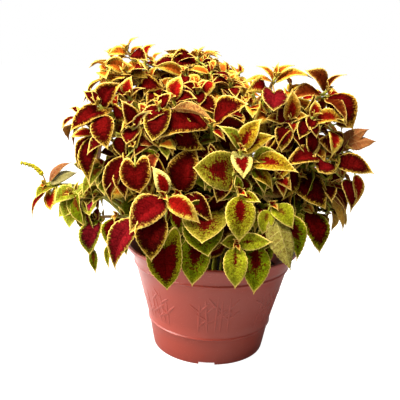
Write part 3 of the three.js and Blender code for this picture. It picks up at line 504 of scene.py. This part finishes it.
def leaf_blank(across, along):
    """A flat leaf two units long each way, with its underside, ready to be shaped."""
    bm = bmesh.new()
    bmesh.ops.create_grid(bm, x_segments=across, y_segments=along, size=1)
    under = bmesh.ops.solidify(bm, geom=bm.faces[:], thickness=0.5)
    for face in under["geom"]:
        if isinstance(face, bmesh.types.BMFace):
            face.material_index = BELOW
    for face in bm.faces:
        face.smooth = True
        if abs(face.normal.z) < 0.5:
            face.material_index = ON_TOP
    add_layers(bm)
    return as_mesh(bm, "leaf_blank")


def tube_blank(sides, steps):
    """A flat sheet rolled up into a closed stem, one unit long and one in radius."""
    bm = bmesh.new()
    bmesh.ops.create_grid(bm, x_segments=sides, y_segments=steps, size=1)
    for vert in bm.verts:
        around = math.pi * (vert.co.x + 1)
        vert.co = Vector((math.cos(around), math.sin(around), (vert.co.y + 1) / 2))
    bmesh.ops.remove_doubles(bm, verts=bm.verts[:], dist=0.001)
    bmesh.ops.holes_fill(bm, edges=[e for e in bm.edges if e.is_boundary], sides=0)
    bmesh.ops.recalc_face_normals(bm, faces=bm.faces[:])
    for face in bm.faces:
        face.smooth = len(face.verts) == 4
        face.material_index = ON_STEM
    add_layers(bm)
    return as_mesh(bm, "tube_blank")


BLANKS = {size: leaf_blank(*size) for size in (FINE, SMALL, PLAIN, HIDDEN, YOUNG)}
# How strongly each size of leaf shows its pale edge, partly a painted highlight; faint on the leaves
# hidden inside the bush, which lie in shade.
PALE_EDGE_AND_HIGHLIGHT = {FINE: 0.75, SMALL: 0.75, PLAIN: 0.6, HIDDEN: 0.15, YOUNG: 0.35}
THICK_BLANK, THIN_BLANK = tube_blank(8, STEM_STEPS), tube_blank(6, THIN_STEPS)


def added(bm, blank):
    """Puts a copy of the blank into the bmesh and gives its new vertices."""
    start = len(bm.verts)
    bm.from_mesh(blank)
    bm.verts.ensure_lookup_table()
    return bm.verts[start:]


def spun(way, axis, angle):
    """The way, turned about the axis."""
    out = way.copy()
    out.rotate(Quaternion(axis, angle))
    return out


def opened(axis, side, degrees):
    """A way that opens from the axis towards the side."""
    return axis * math.cos(math.radians(degrees)) + side * math.sin(math.radians(degrees))


def bent_line(start, bend, end, count):
    """Points along a curve that sets off towards the bend and comes from it to the end."""
    shares = [k / count for k in range(count + 1)]
    return [start * (1 - t) ** 2 + bend * (2 * t * (1 - t)) + end * t * t for t in shares]


def add_tube(bm, blank, points, low, high, square=0.0):
    """A stem along a line of points, from its low radius to its high one, round or squarish."""
    last = len(points) - 1
    ways = [(points[min(k + 1, last)] - points[max(k - 1, 0)]).normalized() for k in range(last + 1)]
    side = ways[0].orthogonal().normalized()
    sides = []
    for way in ways:
        side = (side - way * side.dot(way)).normalized()
        sides.append(side)
    for vert in added(bm, blank):
        level = vert.co.z * last
        k = min(int(level), last - 1)
        centre = points[k].lerp(points[k + 1], level - k)
        way, side = ways[round(level)], sides[round(level)]
        x, y = vert.co.x, vert.co.y
        swell = 1 + square * (abs(x) ** 4 + abs(y) ** 4 - 0.75)
        radius = (low + (high - low) * vert.co.z) * swell
        vert.co = centre + (side * x + way.cross(side) * y) * radius


def outline(along, heart):
    """A blade's half width at a share of its length, as a share of its greatest."""
    if heart:
        return (1 - along) ** 1.3 * (0.84 + 2.5 * along)
    rise, fall = 0.62, 1.6
    peak = rise / (rise + fall)
    return (along**rise * (1 - along) ** fall) / (peak**rise * (1 - peak) ** fall)


def leaf_paints(colouring, blank, rng):
    """One leaf's own colours and measures, as its last four layers hold them."""
    hearts, fields, margins, unders, heart_reach, speckle, margin = colouring
    light = rng.uniform(*LIGHT)
    return [
        (*(c * light for c in hearts), heart_reach * rng.uniform(*LIGHT)),
        (*(c * light for c in fields), speckle),
        (*(c * rng.uniform(0.92, 1.08) for c in margins), margin * rng.uniform(0.8, 1.25)),
        (*(c * light for c in unders), PALE_EDGE_AND_HIGHLIGHT[blank]),
    ]


def add_leaf(bm, foot, tip, petiole, width, turn, outward, colouring, rng, blank=None):
    """One leaf with its petiole, bowed from its foot to its tip, its face turned outward."""
    way = tip - foot
    reach = way.length
    way.normalize()
    blade = reach - petiole
    half = width * blade / 2
    face = spun((outward - way * outward.dot(way)).normalized(), way, math.radians(turn))
    across_way = face.cross(way)
    lift = outward.normalized() * 0.6 + Vector((0, 0, 0.8))
    bow_way = (lift - way * way.dot(lift)).normalized()
    heart = width > HEART_WIDTH
    bowed = rng.uniform(*BOW) * (0.4 if heart else 1)
    fold = rng.uniform(*FOLD) * (0.5 if heart else 1)
    sway = rng.uniform(*SWAY) * reach
    curl = rng.uniform(*CURL) * blade
    hook = rng.uniform(*HOOK) * half
    ruffle, phase = rng.uniform(*RUFFLE) * half, rng.uniform(0, 6.3)
    quilt = 0.03 * half
    seed = rng.uniform(0, 50)

    def on_line(along):
        share = min(max(along / reach, 0), 1)
        bow = bowed * reach * 4 * share * (1 - share)
        return foot + way * along + bow_way * bow + across_way * (sway * 4 * share * (1 - share))

    if petiole > 1.5:
        stalk = [on_line(petiole * 1.06 * k / THIN_STEPS) for k in range(THIN_STEPS + 1)]
        add_tube(bm, THIN_BLANK, stalk, *PETIOLE)
    blank = blank or (FINE if blade > LARGE_BLADE else SMALL)
    rows = blank[1]
    tooth = min(0.3, 0.02 * half + 0.08)
    layers = layers_of(bm)
    paints = leaf_paints(colouring, blank, rng)
    for vert in added(bm, BLANKS[blank]):
        across, along, below = -vert.co.x, (vert.co.y + 1) / 2, vert.co.z < -0.1
        wide = outline(along, heart)
        off = abs(across)
        step = tooth if round(along * rows) % 2 else -tooth
        hw = max(half * wide + step * off**6 * min(1, 5 * wide), 0.35)
        aside = across * hw + hook * max(along - 0.6, 0) ** 2
        sweep = CHEVRON * half / blade * math.sin(math.pi * along) * off
        forward = along + sweep * (0.4 if heart else 1)
        if heart:
            forward -= LOBES * (1 - along) ** 5 * math.sin(2.4 * off)
        forward = min(forward, 1.0) if along < 1 else 1.0
        height = fold * off * hw * min(1, 4 * along)
        puff = abs(math.sin(math.pi * VEINS * along))
        height += quilt * puff * math.sin(math.pi * min(off * 1.05, 1)) * wide
        height -= 0.4 * math.exp(-((across * hw / 0.9) ** 2)) * wide
        height += ruffle * off**3 * math.sin(14 * along + phase) * wide
        height -= curl * along**3
        if below:
            height -= LEAF_THICKNESS
        vert.co = on_line(petiole + forward * blade) + across_way * aside + face * height
        from_foot = along if heart else 1
        edge = min((1 - off) * wide, 2.5 * from_foot)
        rim = min((1 - off) * hw, blade * from_foot)
        place = (across, along, edge, seed)
        spot = (across * hw + seed * 3, forward * blade + seed * 7, seed, rim)
        for layer, given in zip(layers, (place, spot, *paints)):
            vert[layer] = given


def stem_points(root, crown):
    """The stem's line: up out of the soil, then bowing out to its crown."""
    bend = root.lerp(crown, 0.3)
    bend.z = SOIL_TOP + 0.75 * (crown.z - SOIL_TOP) + 0.2 * math.hypot(crown.x, crown.y)
    return bent_line(root, bend, crown, STEM_STEPS)


def stem_root(node):
    """The foot of the node's stem, from its lowest corners."""
    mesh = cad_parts[node].data
    places = sorted((v.co.copy() for v in mesh.vertices), key=lambda co: co.z)
    low = [co for co in places if co.z < places[0].z + 0.0015]
    return (sum(low, Vector()) / len(low) - AXIS) / MM


def add_bud(bm, crown, way, rng, leaves=4):
    """The youngest leaves, still small and upright, at the crown."""
    side = way.orthogonal().normalized()
    for k in range(leaves):
        out = spun(side, way, math.pi / 2 * k + rng.uniform(-0.3, 0.3))
        length = rng.uniform(*(BUD_LONG if k % 2 else BUD_SHORT))
        tip = crown + (way * 0.8 + out * 0.6).normalized() * length
        add_leaf(bm, crown - way, tip, 0.5, 0.5, 0, way - out, COLOURINGS["bud"], rng, YOUNG)


def add_lower_pairs(bm, points, kinds, rng):
    """Older leaves further down the stem, inside the bush, mostly in darker colourings that are partly
    their own colour and partly painted shade.
    """
    gone, level = 0.0, 1
    for k in range(len(points) - 2, -1, -1):
        gone += (points[k + 1] - points[k]).length
        if gone < LOWER_SPACING * level or points[k].z < LOWEST_LEAF:
            continue
        level += 1
        if level > LOWER_PAIRS + 1:
            break
        way = (points[k + 1] - points[k]).normalized()
        flat = Vector((way.x, way.y, 0))
        out = flat - way * way.dot(flat)
        out = out.normalized() if out.length > 0.05 else way.orthogonal().normalized()
        for half in (0, 180):
            bearing = spun(out, way, math.radians(90 + half + rng.uniform(-50, 50)))
            length = min(LONGEST_LOWER, 20 + 6 * level) * rng.uniform(0.9, 1.1)
            aim = bearing + way * 0.1 - Vector((0, 0, rng.uniform(0.1, 0.9)))
            tip = points[k] + aim.normalized() * length
            if math.hypot(tip.x, tip.y) > BUSH_RADIUS or tip.z < LOWEST_TIP:
                continue
            face = out + Vector((0, 0, 0.7))
            look = COLOURINGS[rng.choice(kinds)]
            add_leaf(bm, points[k], tip, 6, 0.66, 0, face, look, rng, HIDDEN)


def in_valley(tip):
    return VALLEY_LEFT < tip.x < VALLEY_RIGHT and tip.z > VALLEY_FLOOR


def add_branch(bm, points, crown, outward, kinds, rng, behind=12, reach=40):
    """A side branch that fills the bush next to the crown and a little under it.

    It ends at least as far back from the crown as behind says, and its pairs of leaves come out past
    the crown by reach at most.
    """
    start = points[-1 - rng.randint(*BRANCH_START)]
    out = outward.normalized()
    aside = spun(out.cross(Vector((0, 0, 1))).normalized(), out, rng.uniform(0, math.tau))
    end = crown + aside * rng.uniform(*BRANCH_ASIDE) - out * rng.uniform(behind, behind + 10)
    end.z = min(end.z, crown.z - 4)
    if end.z < LOWEST_BRANCH:
        return
    bend = start.lerp(end, 0.5) + Vector((0, 0, 4))
    add_tube(bm, THIN_BLANK, bent_line(start, bend, end, THIN_STEPS), *BRANCH)
    axis = (out * 0.5 + Vector((0, 0, 0.6)) + (end - start).normalized() * 0.3).normalized()
    side = axis.orthogonal().normalized()
    spin = rng.uniform(0, math.pi)
    for pair, (opening, low, high) in enumerate(BRANCH_PAIRS):
        for half in (0, math.pi):
            way = spun(side, axis, spin + math.pi / 2 * pair + half + rng.uniform(-0.2, 0.2))
            aim = opened(axis, way, opening)
            aim.z -= 0.16 * pair
            if aim.dot(out) > 0.75:
                continue
            foot = end - axis * BRANCH_SPACING * pair
            tip = foot + aim.normalized() * rng.uniform(low, high)
            if tip.z < LOWEST_LEAF or (tip - crown).dot(out) > reach or in_valley(tip):
                continue
            look = COLOURINGS[rng.choice(kinds)]
            width, turn = rng.uniform(0.5, 0.7), rng.uniform(-20, 20)
            add_leaf(bm, foot, tip, 1 + 1.5 * pair, width, turn, axis, look, rng, PLAIN)
    add_bud(bm, end, axis, rng, 2)


def new_shoot(name, crown):
    """A shoot's bmesh with its stem in it, and the stem's line."""
    bm = bmesh.new()
    add_layers(bm)
    points = stem_points(stem_root(f"shoot_{name}"), crown)
    add_tube(bm, THICK_BLANK, points, *STEM, 0.25)
    return bm, points


def finished_shoot(name, bm):
    finished(f"coleus_{name}", bm, FOLIAGE, f"shoot_{name}")


def add_spike(bm, crown):
    """A young flower spike: a bent stalk with whorls of yellow buds that shrink to its tip."""
    line = bent_line(crown, crown + Vector(SPIKE_BEND), crown + Vector(SPIKE_TIP), SPIKE_STEPS)
    add_tube(bm, THICK_BLANK, line, *STALK)
    layers = layers_of(bm)
    rng = random.Random("spike")
    for whorl in range(FIRST_WHORL, SPIKE_STEPS):
        way = (line[whorl + 1] - line[whorl]).normalized()
        side = way.orthogonal().normalized()
        size = BUD_SIZES[whorl % 2] - BUD_SHRINK * (whorl - FIRST_WHORL)
        for k in range(BUDS):
            out = spun(side, way, math.radians(360 / BUDS * (k + 0.5 * (whorl % 2))))
            place = Matrix.Translation(line[whorl] + out * size * 0.6)
            radius = size * 0.5 * rng.uniform(0.8, 1.2)
            start = len(bm.verts)
            bmesh.ops.create_icosphere(bm, subdivisions=1, radius=radius, matrix=place)
            bm.verts.ensure_lookup_table()
            for vert in bm.verts[start:]:
                for layer, given in zip(layers, SPIKE_COLOURS):
                    vert[layer] = given
                for face in vert.link_faces:
                    face.material_index = ON_TOP
                    face.smooth = True


def point_at(points, share):
    """The point at a share of a line's length."""
    lengths = [(b - a).length for a, b in zip(points, points[1:])]
    left = sum(lengths) * share
    k = 0
    while lengths[k] < left:
        left -= lengths[k]
        k += 1
    return points[k].lerp(points[k + 1], left / lengths[k])


def front_shoot(name, crown, leaves):
    rng = random.Random(name)
    crown = Vector(crown)
    bm, points = new_shoot(name, crown)
    outward = Vector((crown.x * FACE_ASIDE, crown.y - FACE_DEPTH, crown.z - FACE_HEIGHT))
    back = (point_at(points, CROWN_SHARE) - points[-1]).normalized()
    high = crown.z > HIGH_CROWN
    for i, (x, y, z, petiole, width, kind, *turn) in enumerate(leaves):
        foot = crown + back * (PAIR_SPACING * (i // 2 + FIRST_PAIR))
        if high and width < SLIM:
            width = min(BROADER * width, BROADEST)
        tip = crown + Vector((x, y, z))
        add_leaf(bm, foot, tip, petiole, width, sum(turn), outward, COLOURINGS[kind], rng)
    add_bud(bm, crown, (outward.normalized() - back).normalized(), rng)
    zone = "top" if crown.z > TOP_CROWN else "high" if high else "low"
    kinds = [leaf[5] for leaf in leaves if leaf[5] not in BARE_KINDS] + list(BRANCH_KINDS[zone])
    if high or not name.startswith("left_"):
        behind, reach = (5, 40) if zone == "top" and crown.x < 20 else (12, 2)
        for _ in range(4 if high else 2):
            add_branch(bm, points, crown, outward, kinds, rng, behind, reach)
        add_lower_pairs(bm, points, LOWER_KINDS[zone], rng)
    if name == "left_spike":
        add_spike(bm, crown)
    finished_shoot(name, bm)


def back_shoot(name, bearing, reach, height, spin):
    rng = random.Random(name)
    angle = math.radians(bearing)
    crown = Vector((reach * math.cos(angle), reach * math.sin(angle), height))
    bm, points = new_shoot(name, crown)
    axis = (points[-1] - points[-2]).normalized()
    side = Vector((0, 0, 1)).cross(axis).normalized()
    high = height > HIGH_BACK
    kinds = "RRBDWWO" if high else "RDLKWG"
    for k, (opening, droop, petiole, blade, width) in enumerate(BACK_PAIRS):
        for half in (0, 180):
            aim = opened(axis, spun(side, axis, math.radians(spin + 90 * k + half)), opening)
            aim.z -= droop
            tip = aim.normalized() * (petiole + blade) - axis * (BACK_SPACING * k)
            foot = crown - axis * (BACK_SPACING * (k + FIRST_PAIR))
            look = COLOURINGS[rng.choice(kinds)]
            add_leaf(bm, foot, crown + tip, petiole, width, 0, axis, look, rng)
    add_bud(bm, crown, axis, rng)
    for _ in range(3 if high else 2):
        add_branch(bm, points, crown, axis, kinds, rng)
    # Dark colourings for the leaves inside the bush, partly painted shade.
    add_lower_pairs(bm, points, "DRDODN" if high else "RDKGLD", rng)
    finished_shoot(name, bm)


# ---- the pot


def wall_radius(z):
    slope = (UPPER_RING_RADIUS - LOWER_RING_RADIUS) / (UPPER_RING - LOWER_RING)
    if z < LOWER_RING:
        return FOOT_RADIUS + (LOWER_RING_RADIUS - RING_PROUD - FOOT_RADIUS) * z / LOWER_RING
    return LOWER_RING_RADIUS - RING_PROUD + slope * (z - LOWER_RING)


def on_wall(*heights):
    return [(wall_radius(z), z) for z in heights]


def ring_profile(z):
    """A raised ring: a smooth swell of the wall."""
    rows = []
    for k in range(-4, 5):
        height = z + 0.5 * k
        swell = RING_SWELL * RING_PROUD * math.cos(math.pi * k / 9) ** 2
        rows.append((wall_radius(height) + swell, height))
    return rows


def pot_profile():
    lip = POT_HEIGHT - LIP_HEIGHT
    floor = FOOT_DEPTH + FLOOR_THICKNESS
    return [
        (0, FOOT_DEPTH), (FOOT_RADIUS - 4, FOOT_DEPTH), (FOOT_RADIUS - 2.8, 0.3),
        (FOOT_RADIUS - 2.4, 0), (FOOT_RADIUS - 1, 0), (FOOT_RADIUS - 0.3, 0.3), (FOOT_RADIUS, 1),
        *on_wall(8, 18), *ring_profile(LOWER_RING),
        *on_wall(45, 60, 75), *ring_profile(UPPER_RING), *on_wall(98),
        (BAND_TOP_RADIUS - 0.6, lip - 3), (BAND_TOP_RADIUS, lip - 1), (BAND_TOP_RADIUS + 0.8, lip - 0.2),
        (RIM_RADIUS - 1, lip), (RIM_RADIUS - 0.3, lip + 0.3), (RIM_RADIUS, lip + 1),
        (RIM_RADIUS, POT_HEIGHT - 1), (RIM_RADIUS - 0.3, POT_HEIGHT - 0.3), (RIM_RADIUS - 1, POT_HEIGHT),
        (RIM_RADIUS - 2.6, POT_HEIGHT), (RIM_RADIUS - 3.2, POT_HEIGHT - 0.4),
        (BAND_TOP_RADIUS - WALL, lip - 2),
        *((radius - WALL, z) for radius, z in on_wall(UPPER_RING, 60, LOWER_RING)),
        (wall_radius(floor) - WALL - 1.6, floor + 1), (wall_radius(floor) - WALL - 3, floor), (0, floor),
    ]


def turned(profile, sides):
    """A solid turned from its profile, which begins and ends on the axis."""
    bm = bmesh.new()
    verts = [bm.verts.new((r, 0, z)) for r, z in profile]
    edges = [bm.edges.new(pair) for pair in zip(verts, verts[1:])]
    full = {"cent": (0, 0, 0), "axis": (0, 0, 1), "angle": math.tau, "use_merge": True}
    bmesh.ops.spin(bm, geom=verts + edges, steps=sides, **full)
    bmesh.ops.remove_doubles(bm, verts=bm.verts[:], dist=0.01)
    bmesh.ops.recalc_face_normals(bm, faces=bm.faces[:])
    return bm


def notches_and_drains():
    bm = bmesh.new()
    for k in range(NOTCHES):
        turn = Matrix.Rotation(math.tau / NOTCHES * k, 4, "Z")
        block = turn @ Matrix.Translation((0, -FOOT_RADIUS, 0)) @ Matrix.Diagonal((*NOTCH_SIZE, 1))
        bmesh.ops.create_cube(bm, size=1, matrix=block)
    for k in range(DRAINS):
        turn = Matrix.Rotation(math.tau * (k + 0.5) / DRAINS, 4, "Z")
        hole = turn @ Matrix.Translation((DRAIN_CIRCLE, 0, FOOT_DEPTH))
        round_bar = {"cap_ends": True, "segments": 24, "radius1": DRAIN_RADIUS, "radius2": DRAIN_RADIUS}
        bmesh.ops.create_cone(bm, depth=12, matrix=hole, **round_bar)
    return placed("notches_and_drains", as_mesh(bm, "notches_and_drains"))


def add_reeds(bm):
    """Upright reeds with slim leaves in low relief round the wall, between the two rings."""
    slope = math.atan2(UPPER_RING_RADIUS - LOWER_RING_RADIUS, UPPER_RING - LOWER_RING)
    rng = random.Random("reeds")
    for clump in range(CLUMPS):
        bearing = math.tau * (clump + 0.35) / CLUMPS
        for reed in range(REEDS):
            aside = (reed - REEDS // 2) * REED_SPACING + rng.uniform(-1.5, 1.5)
            lean, length = rng.uniform(*REED_LEAN), rng.uniform(*REED_LENGTH)
            rise = REED_FOOT + length / 2
            add_ridge(bm, bearing + aside / wall_radius(rise), rise, lean, length / 2, slope)
            for side in REED_LEAVES:
                high = rise + length * rng.uniform(-0.2, 0.35)
                turn = bearing + (aside + 4.5 * side) / wall_radius(high)
                add_ridge(bm, turn, high, rng.uniform(*REED_LEAF_LEAN) * side, 7.5, slope)


def add_ridge(bm, turn, rise, lean, half_length, slope):
    place = (
        Matrix.Rotation(turn, 4, "Z")
        @ Matrix.Translation((wall_radius(rise) - 0.1, 0, rise))
        @ Matrix.Rotation(slope, 4, "Y")
        @ Matrix.Rotation(math.radians(-lean), 4, "X")
        @ Matrix.Diagonal((0.55, 1.3, half_length, 1))
    )
    bmesh.ops.create_uvsphere(bm, u_segments=12, v_segments=8, radius=1, matrix=place)


def make_pot():
    body = placed("pot_body", as_mesh(turned(pot_profile(), POT_SIDES), "pot_body"))
    cut = body.modifiers.new("cut", "BOOLEAN")
    cut.operation = "DIFFERENCE"
    cut.solver = "EXACT"
    cut.object = notches_and_drains()
    graph = bpy.context.evaluated_depsgraph_get()
    bm = bmesh.new()
    bm.from_mesh(bpy.data.meshes.new_from_object(body.evaluated_get(graph)))
    bpy.data.objects.remove(cut.object)
    bpy.data.objects.remove(body)
    add_reeds(bm)
    for face in bm.faces:
        face.smooth = True
    for edge in bm.edges:
        edge.smooth = edge.calc_face_angle(0) < math.radians(40)
    finished("flowerpot", bm, (pot_plastic(),), "pot")


def make_soil():
    bottom = FOOT_DEPTH + FLOOR_THICKNESS + GAP
    radius = wall_radius(SOIL_TOP) - WALL - GAP
    bend = LOWER_RING
    side = [(wall_radius(bottom) - WALL - 3.4, bottom), (wall_radius(bend) - WALL - GAP, bend)]
    top = [(radius * k / SOIL_RINGS, SOIL_TOP) for k in range(SOIL_RINGS, -1, -1)]
    bm = turned([(0, bottom), *side, *top], SOIL_SIDES)
    rng = random.Random("soil")
    for vert in bm.verts:
        if vert.co.z > SOIL_TOP - 0.1:
            lump = noise.fractal(vert.co * 0.12, 0.8, 2.1, 4)
            vert.co.z += min(1.4, 1.8 * lump)
    for _ in range(CRUMBS):
        far, turn = radius * 0.97 * math.sqrt(rng.random()), rng.uniform(0, math.tau)
        size = rng.uniform(*CRUMB_RADIUS)
        place = Matrix.Translation((far * math.cos(turn), far * math.sin(turn), SOIL_TOP + 0.3))
        place = place @ Matrix.Rotation(rng.uniform(0, 6), 4, (1, 1, 0.5))
        place = place @ Matrix.Diagonal((1, rng.uniform(0.5, 1), 0.6, 1))
        bmesh.ops.create_icosphere(bm, subdivisions=1, radius=size, matrix=place)
    for face in bm.faces:
        face.smooth = True
    finished("potting_mix", bm, (potting_soil(),), "soil")


# ---- the stage

FOCAL, SENSOR = 53.1, 36
CAMERA = Vector((0, -593, 303))
PITCH, ROLL, YAW = 0.244, 0.043, -0.025
MIRRORED_RIGHT = -0.8  # the pot's gloss mirrors only what is to the left and behind
WHITE = (1, 1, 1)


def make_camera():
    flat = math.cos(PITCH)
    ahead = Vector((math.sin(YAW) * flat, math.cos(YAW) * flat, -math.sin(PITCH)))
    level = Vector((math.cos(YAW), -math.sin(YAW), 0))
    up = level.cross(ahead)
    right = level * math.cos(ROLL) + up * math.sin(ROLL)
    top = up * math.cos(ROLL) - level * math.sin(ROLL)
    camera = placed("camera", bpy.data.cameras.new("camera"))
    camera.data.lens = FOCAL
    camera.data.sensor_width = SENSOR
    turn = Matrix((right, top, -ahead)).transposed().to_4x4()
    camera.matrix_world = Matrix.Translation(AXIS + CAMERA * MM) @ turn
    bpy.context.scene.camera = camera


def softbox(name, place, aim, width, height, power, colour=WHITE):
    light = bpy.data.lights.new(name, "AREA")
    light.shape = "RECTANGLE"
    light.size, light.size_y = width, height
    light.energy, light.color = power, colour
    lamp = placed(name, light)
    lamp.location = place
    lamp.rotation_mode = "QUATERNION"
    lamp.rotation_quaternion = (Vector(aim) - Vector(place)).to_track_quat("-Z", "Y")


def seen(stage, in_view, as_light, as_gloss):
    """A strength where it is looked at, where it gives light and where it is mirrored."""
    ray = stage.node("LightPath", {})
    strength = stage.node("Mix", {0: ray["Is Glossy Ray"], 2: as_light, 3: as_gloss})[0]
    return stage.node("Mix", {0: ray["Is Camera Ray"], 2: strength, 3: in_view})[0]


def ways_of(stage, place):
    """How far a place is to the right and behind, and how far towards what the gloss mirrors."""
    right, behind, _ = stage.node("SeparateXYZ", {0: place})
    return right, behind, stage.calc("MULTIPLY_ADD", right, MIRRORED_RIGHT, behind)


def make_floor():
    bm = bmesh.new()
    bmesh.ops.create_circle(bm, cap_ends=True, segments=96, radius=9)
    floor = placed("floor", as_mesh(bm, "floor"))
    stage = paint("floor_paint")
    to_left = ways_of(stage, stage.place())[-1]
    mirrored = stage.calc("MULTIPLY", stage.fade(to_left, -0.04, 0.3), 1.6)
    glow = {"Emission Color": WHITE, "Emission Strength": seen(stage, 0.96, 0.12, mirrored)}
    stage.feed(stage.last, {"Base Color": (0.3, 0.3, 0.3), "Roughness": 0.8, "Specular IOR Level": 0})
    stage.feed(stage.last, glow)
    floor.data.materials.append(stage.owner)


def make_world():
    bpy.context.scene.world = bpy.data.worlds.new("studio")
    stage = Recipe(bpy.context.scene.world, "Background")
    right, behind, to_left = ways_of(stage, stage.place("Generated"))
    fill = stage.calc("MULTIPLY_ADD", stage.fade(right, 0.6, -0.8), 0.5, 0.29)
    fill = stage.calc("MULTIPLY_ADD", stage.fade(behind, 0.1, 0.6), 0.6, fill)
    mirrored = stage.calc("MULTIPLY_ADD", stage.fade(to_left, -0.2, 0.8), 1.5, 0.03)
    stage.feed(stage.last, {"Color": WHITE, "Strength": seen(stage, 1.0, fill, mirrored)})


def make_stage():
    make_floor()
    make_world()
    aim = (AXIS.x, AXIS.y, 0.17)
    softbox("key_softbox", (-1.5, -0.42, 0.95), aim, 1.1, 1.2, 68, (1, 0.96, 0.89))
    softbox("top_softbox", (-0.25, -0.35, 1.3), aim, 0.7, 0.7, 54, (1, 0.95, 0.87))
    softbox("edge_softbox", (-1.1, 0.8, 0.35), (AXIS.x, AXIS.y, 0.08), 0.5, 0.9, 6)
    bpy.context.scene.view_settings.view_transform = "Standard"


make_camera()
make_stage()
make_pot()
make_soil()
for shoot, (crown, *leaves) in FRONT_SHOOTS.items():
    front_shoot(shoot, crown, leaves)
for number, (bearing, reach, height, spin) in enumerate(BACK_SHOOTS, 1):
    back_shoot(f"back_{number}", bearing, reach, height, spin)
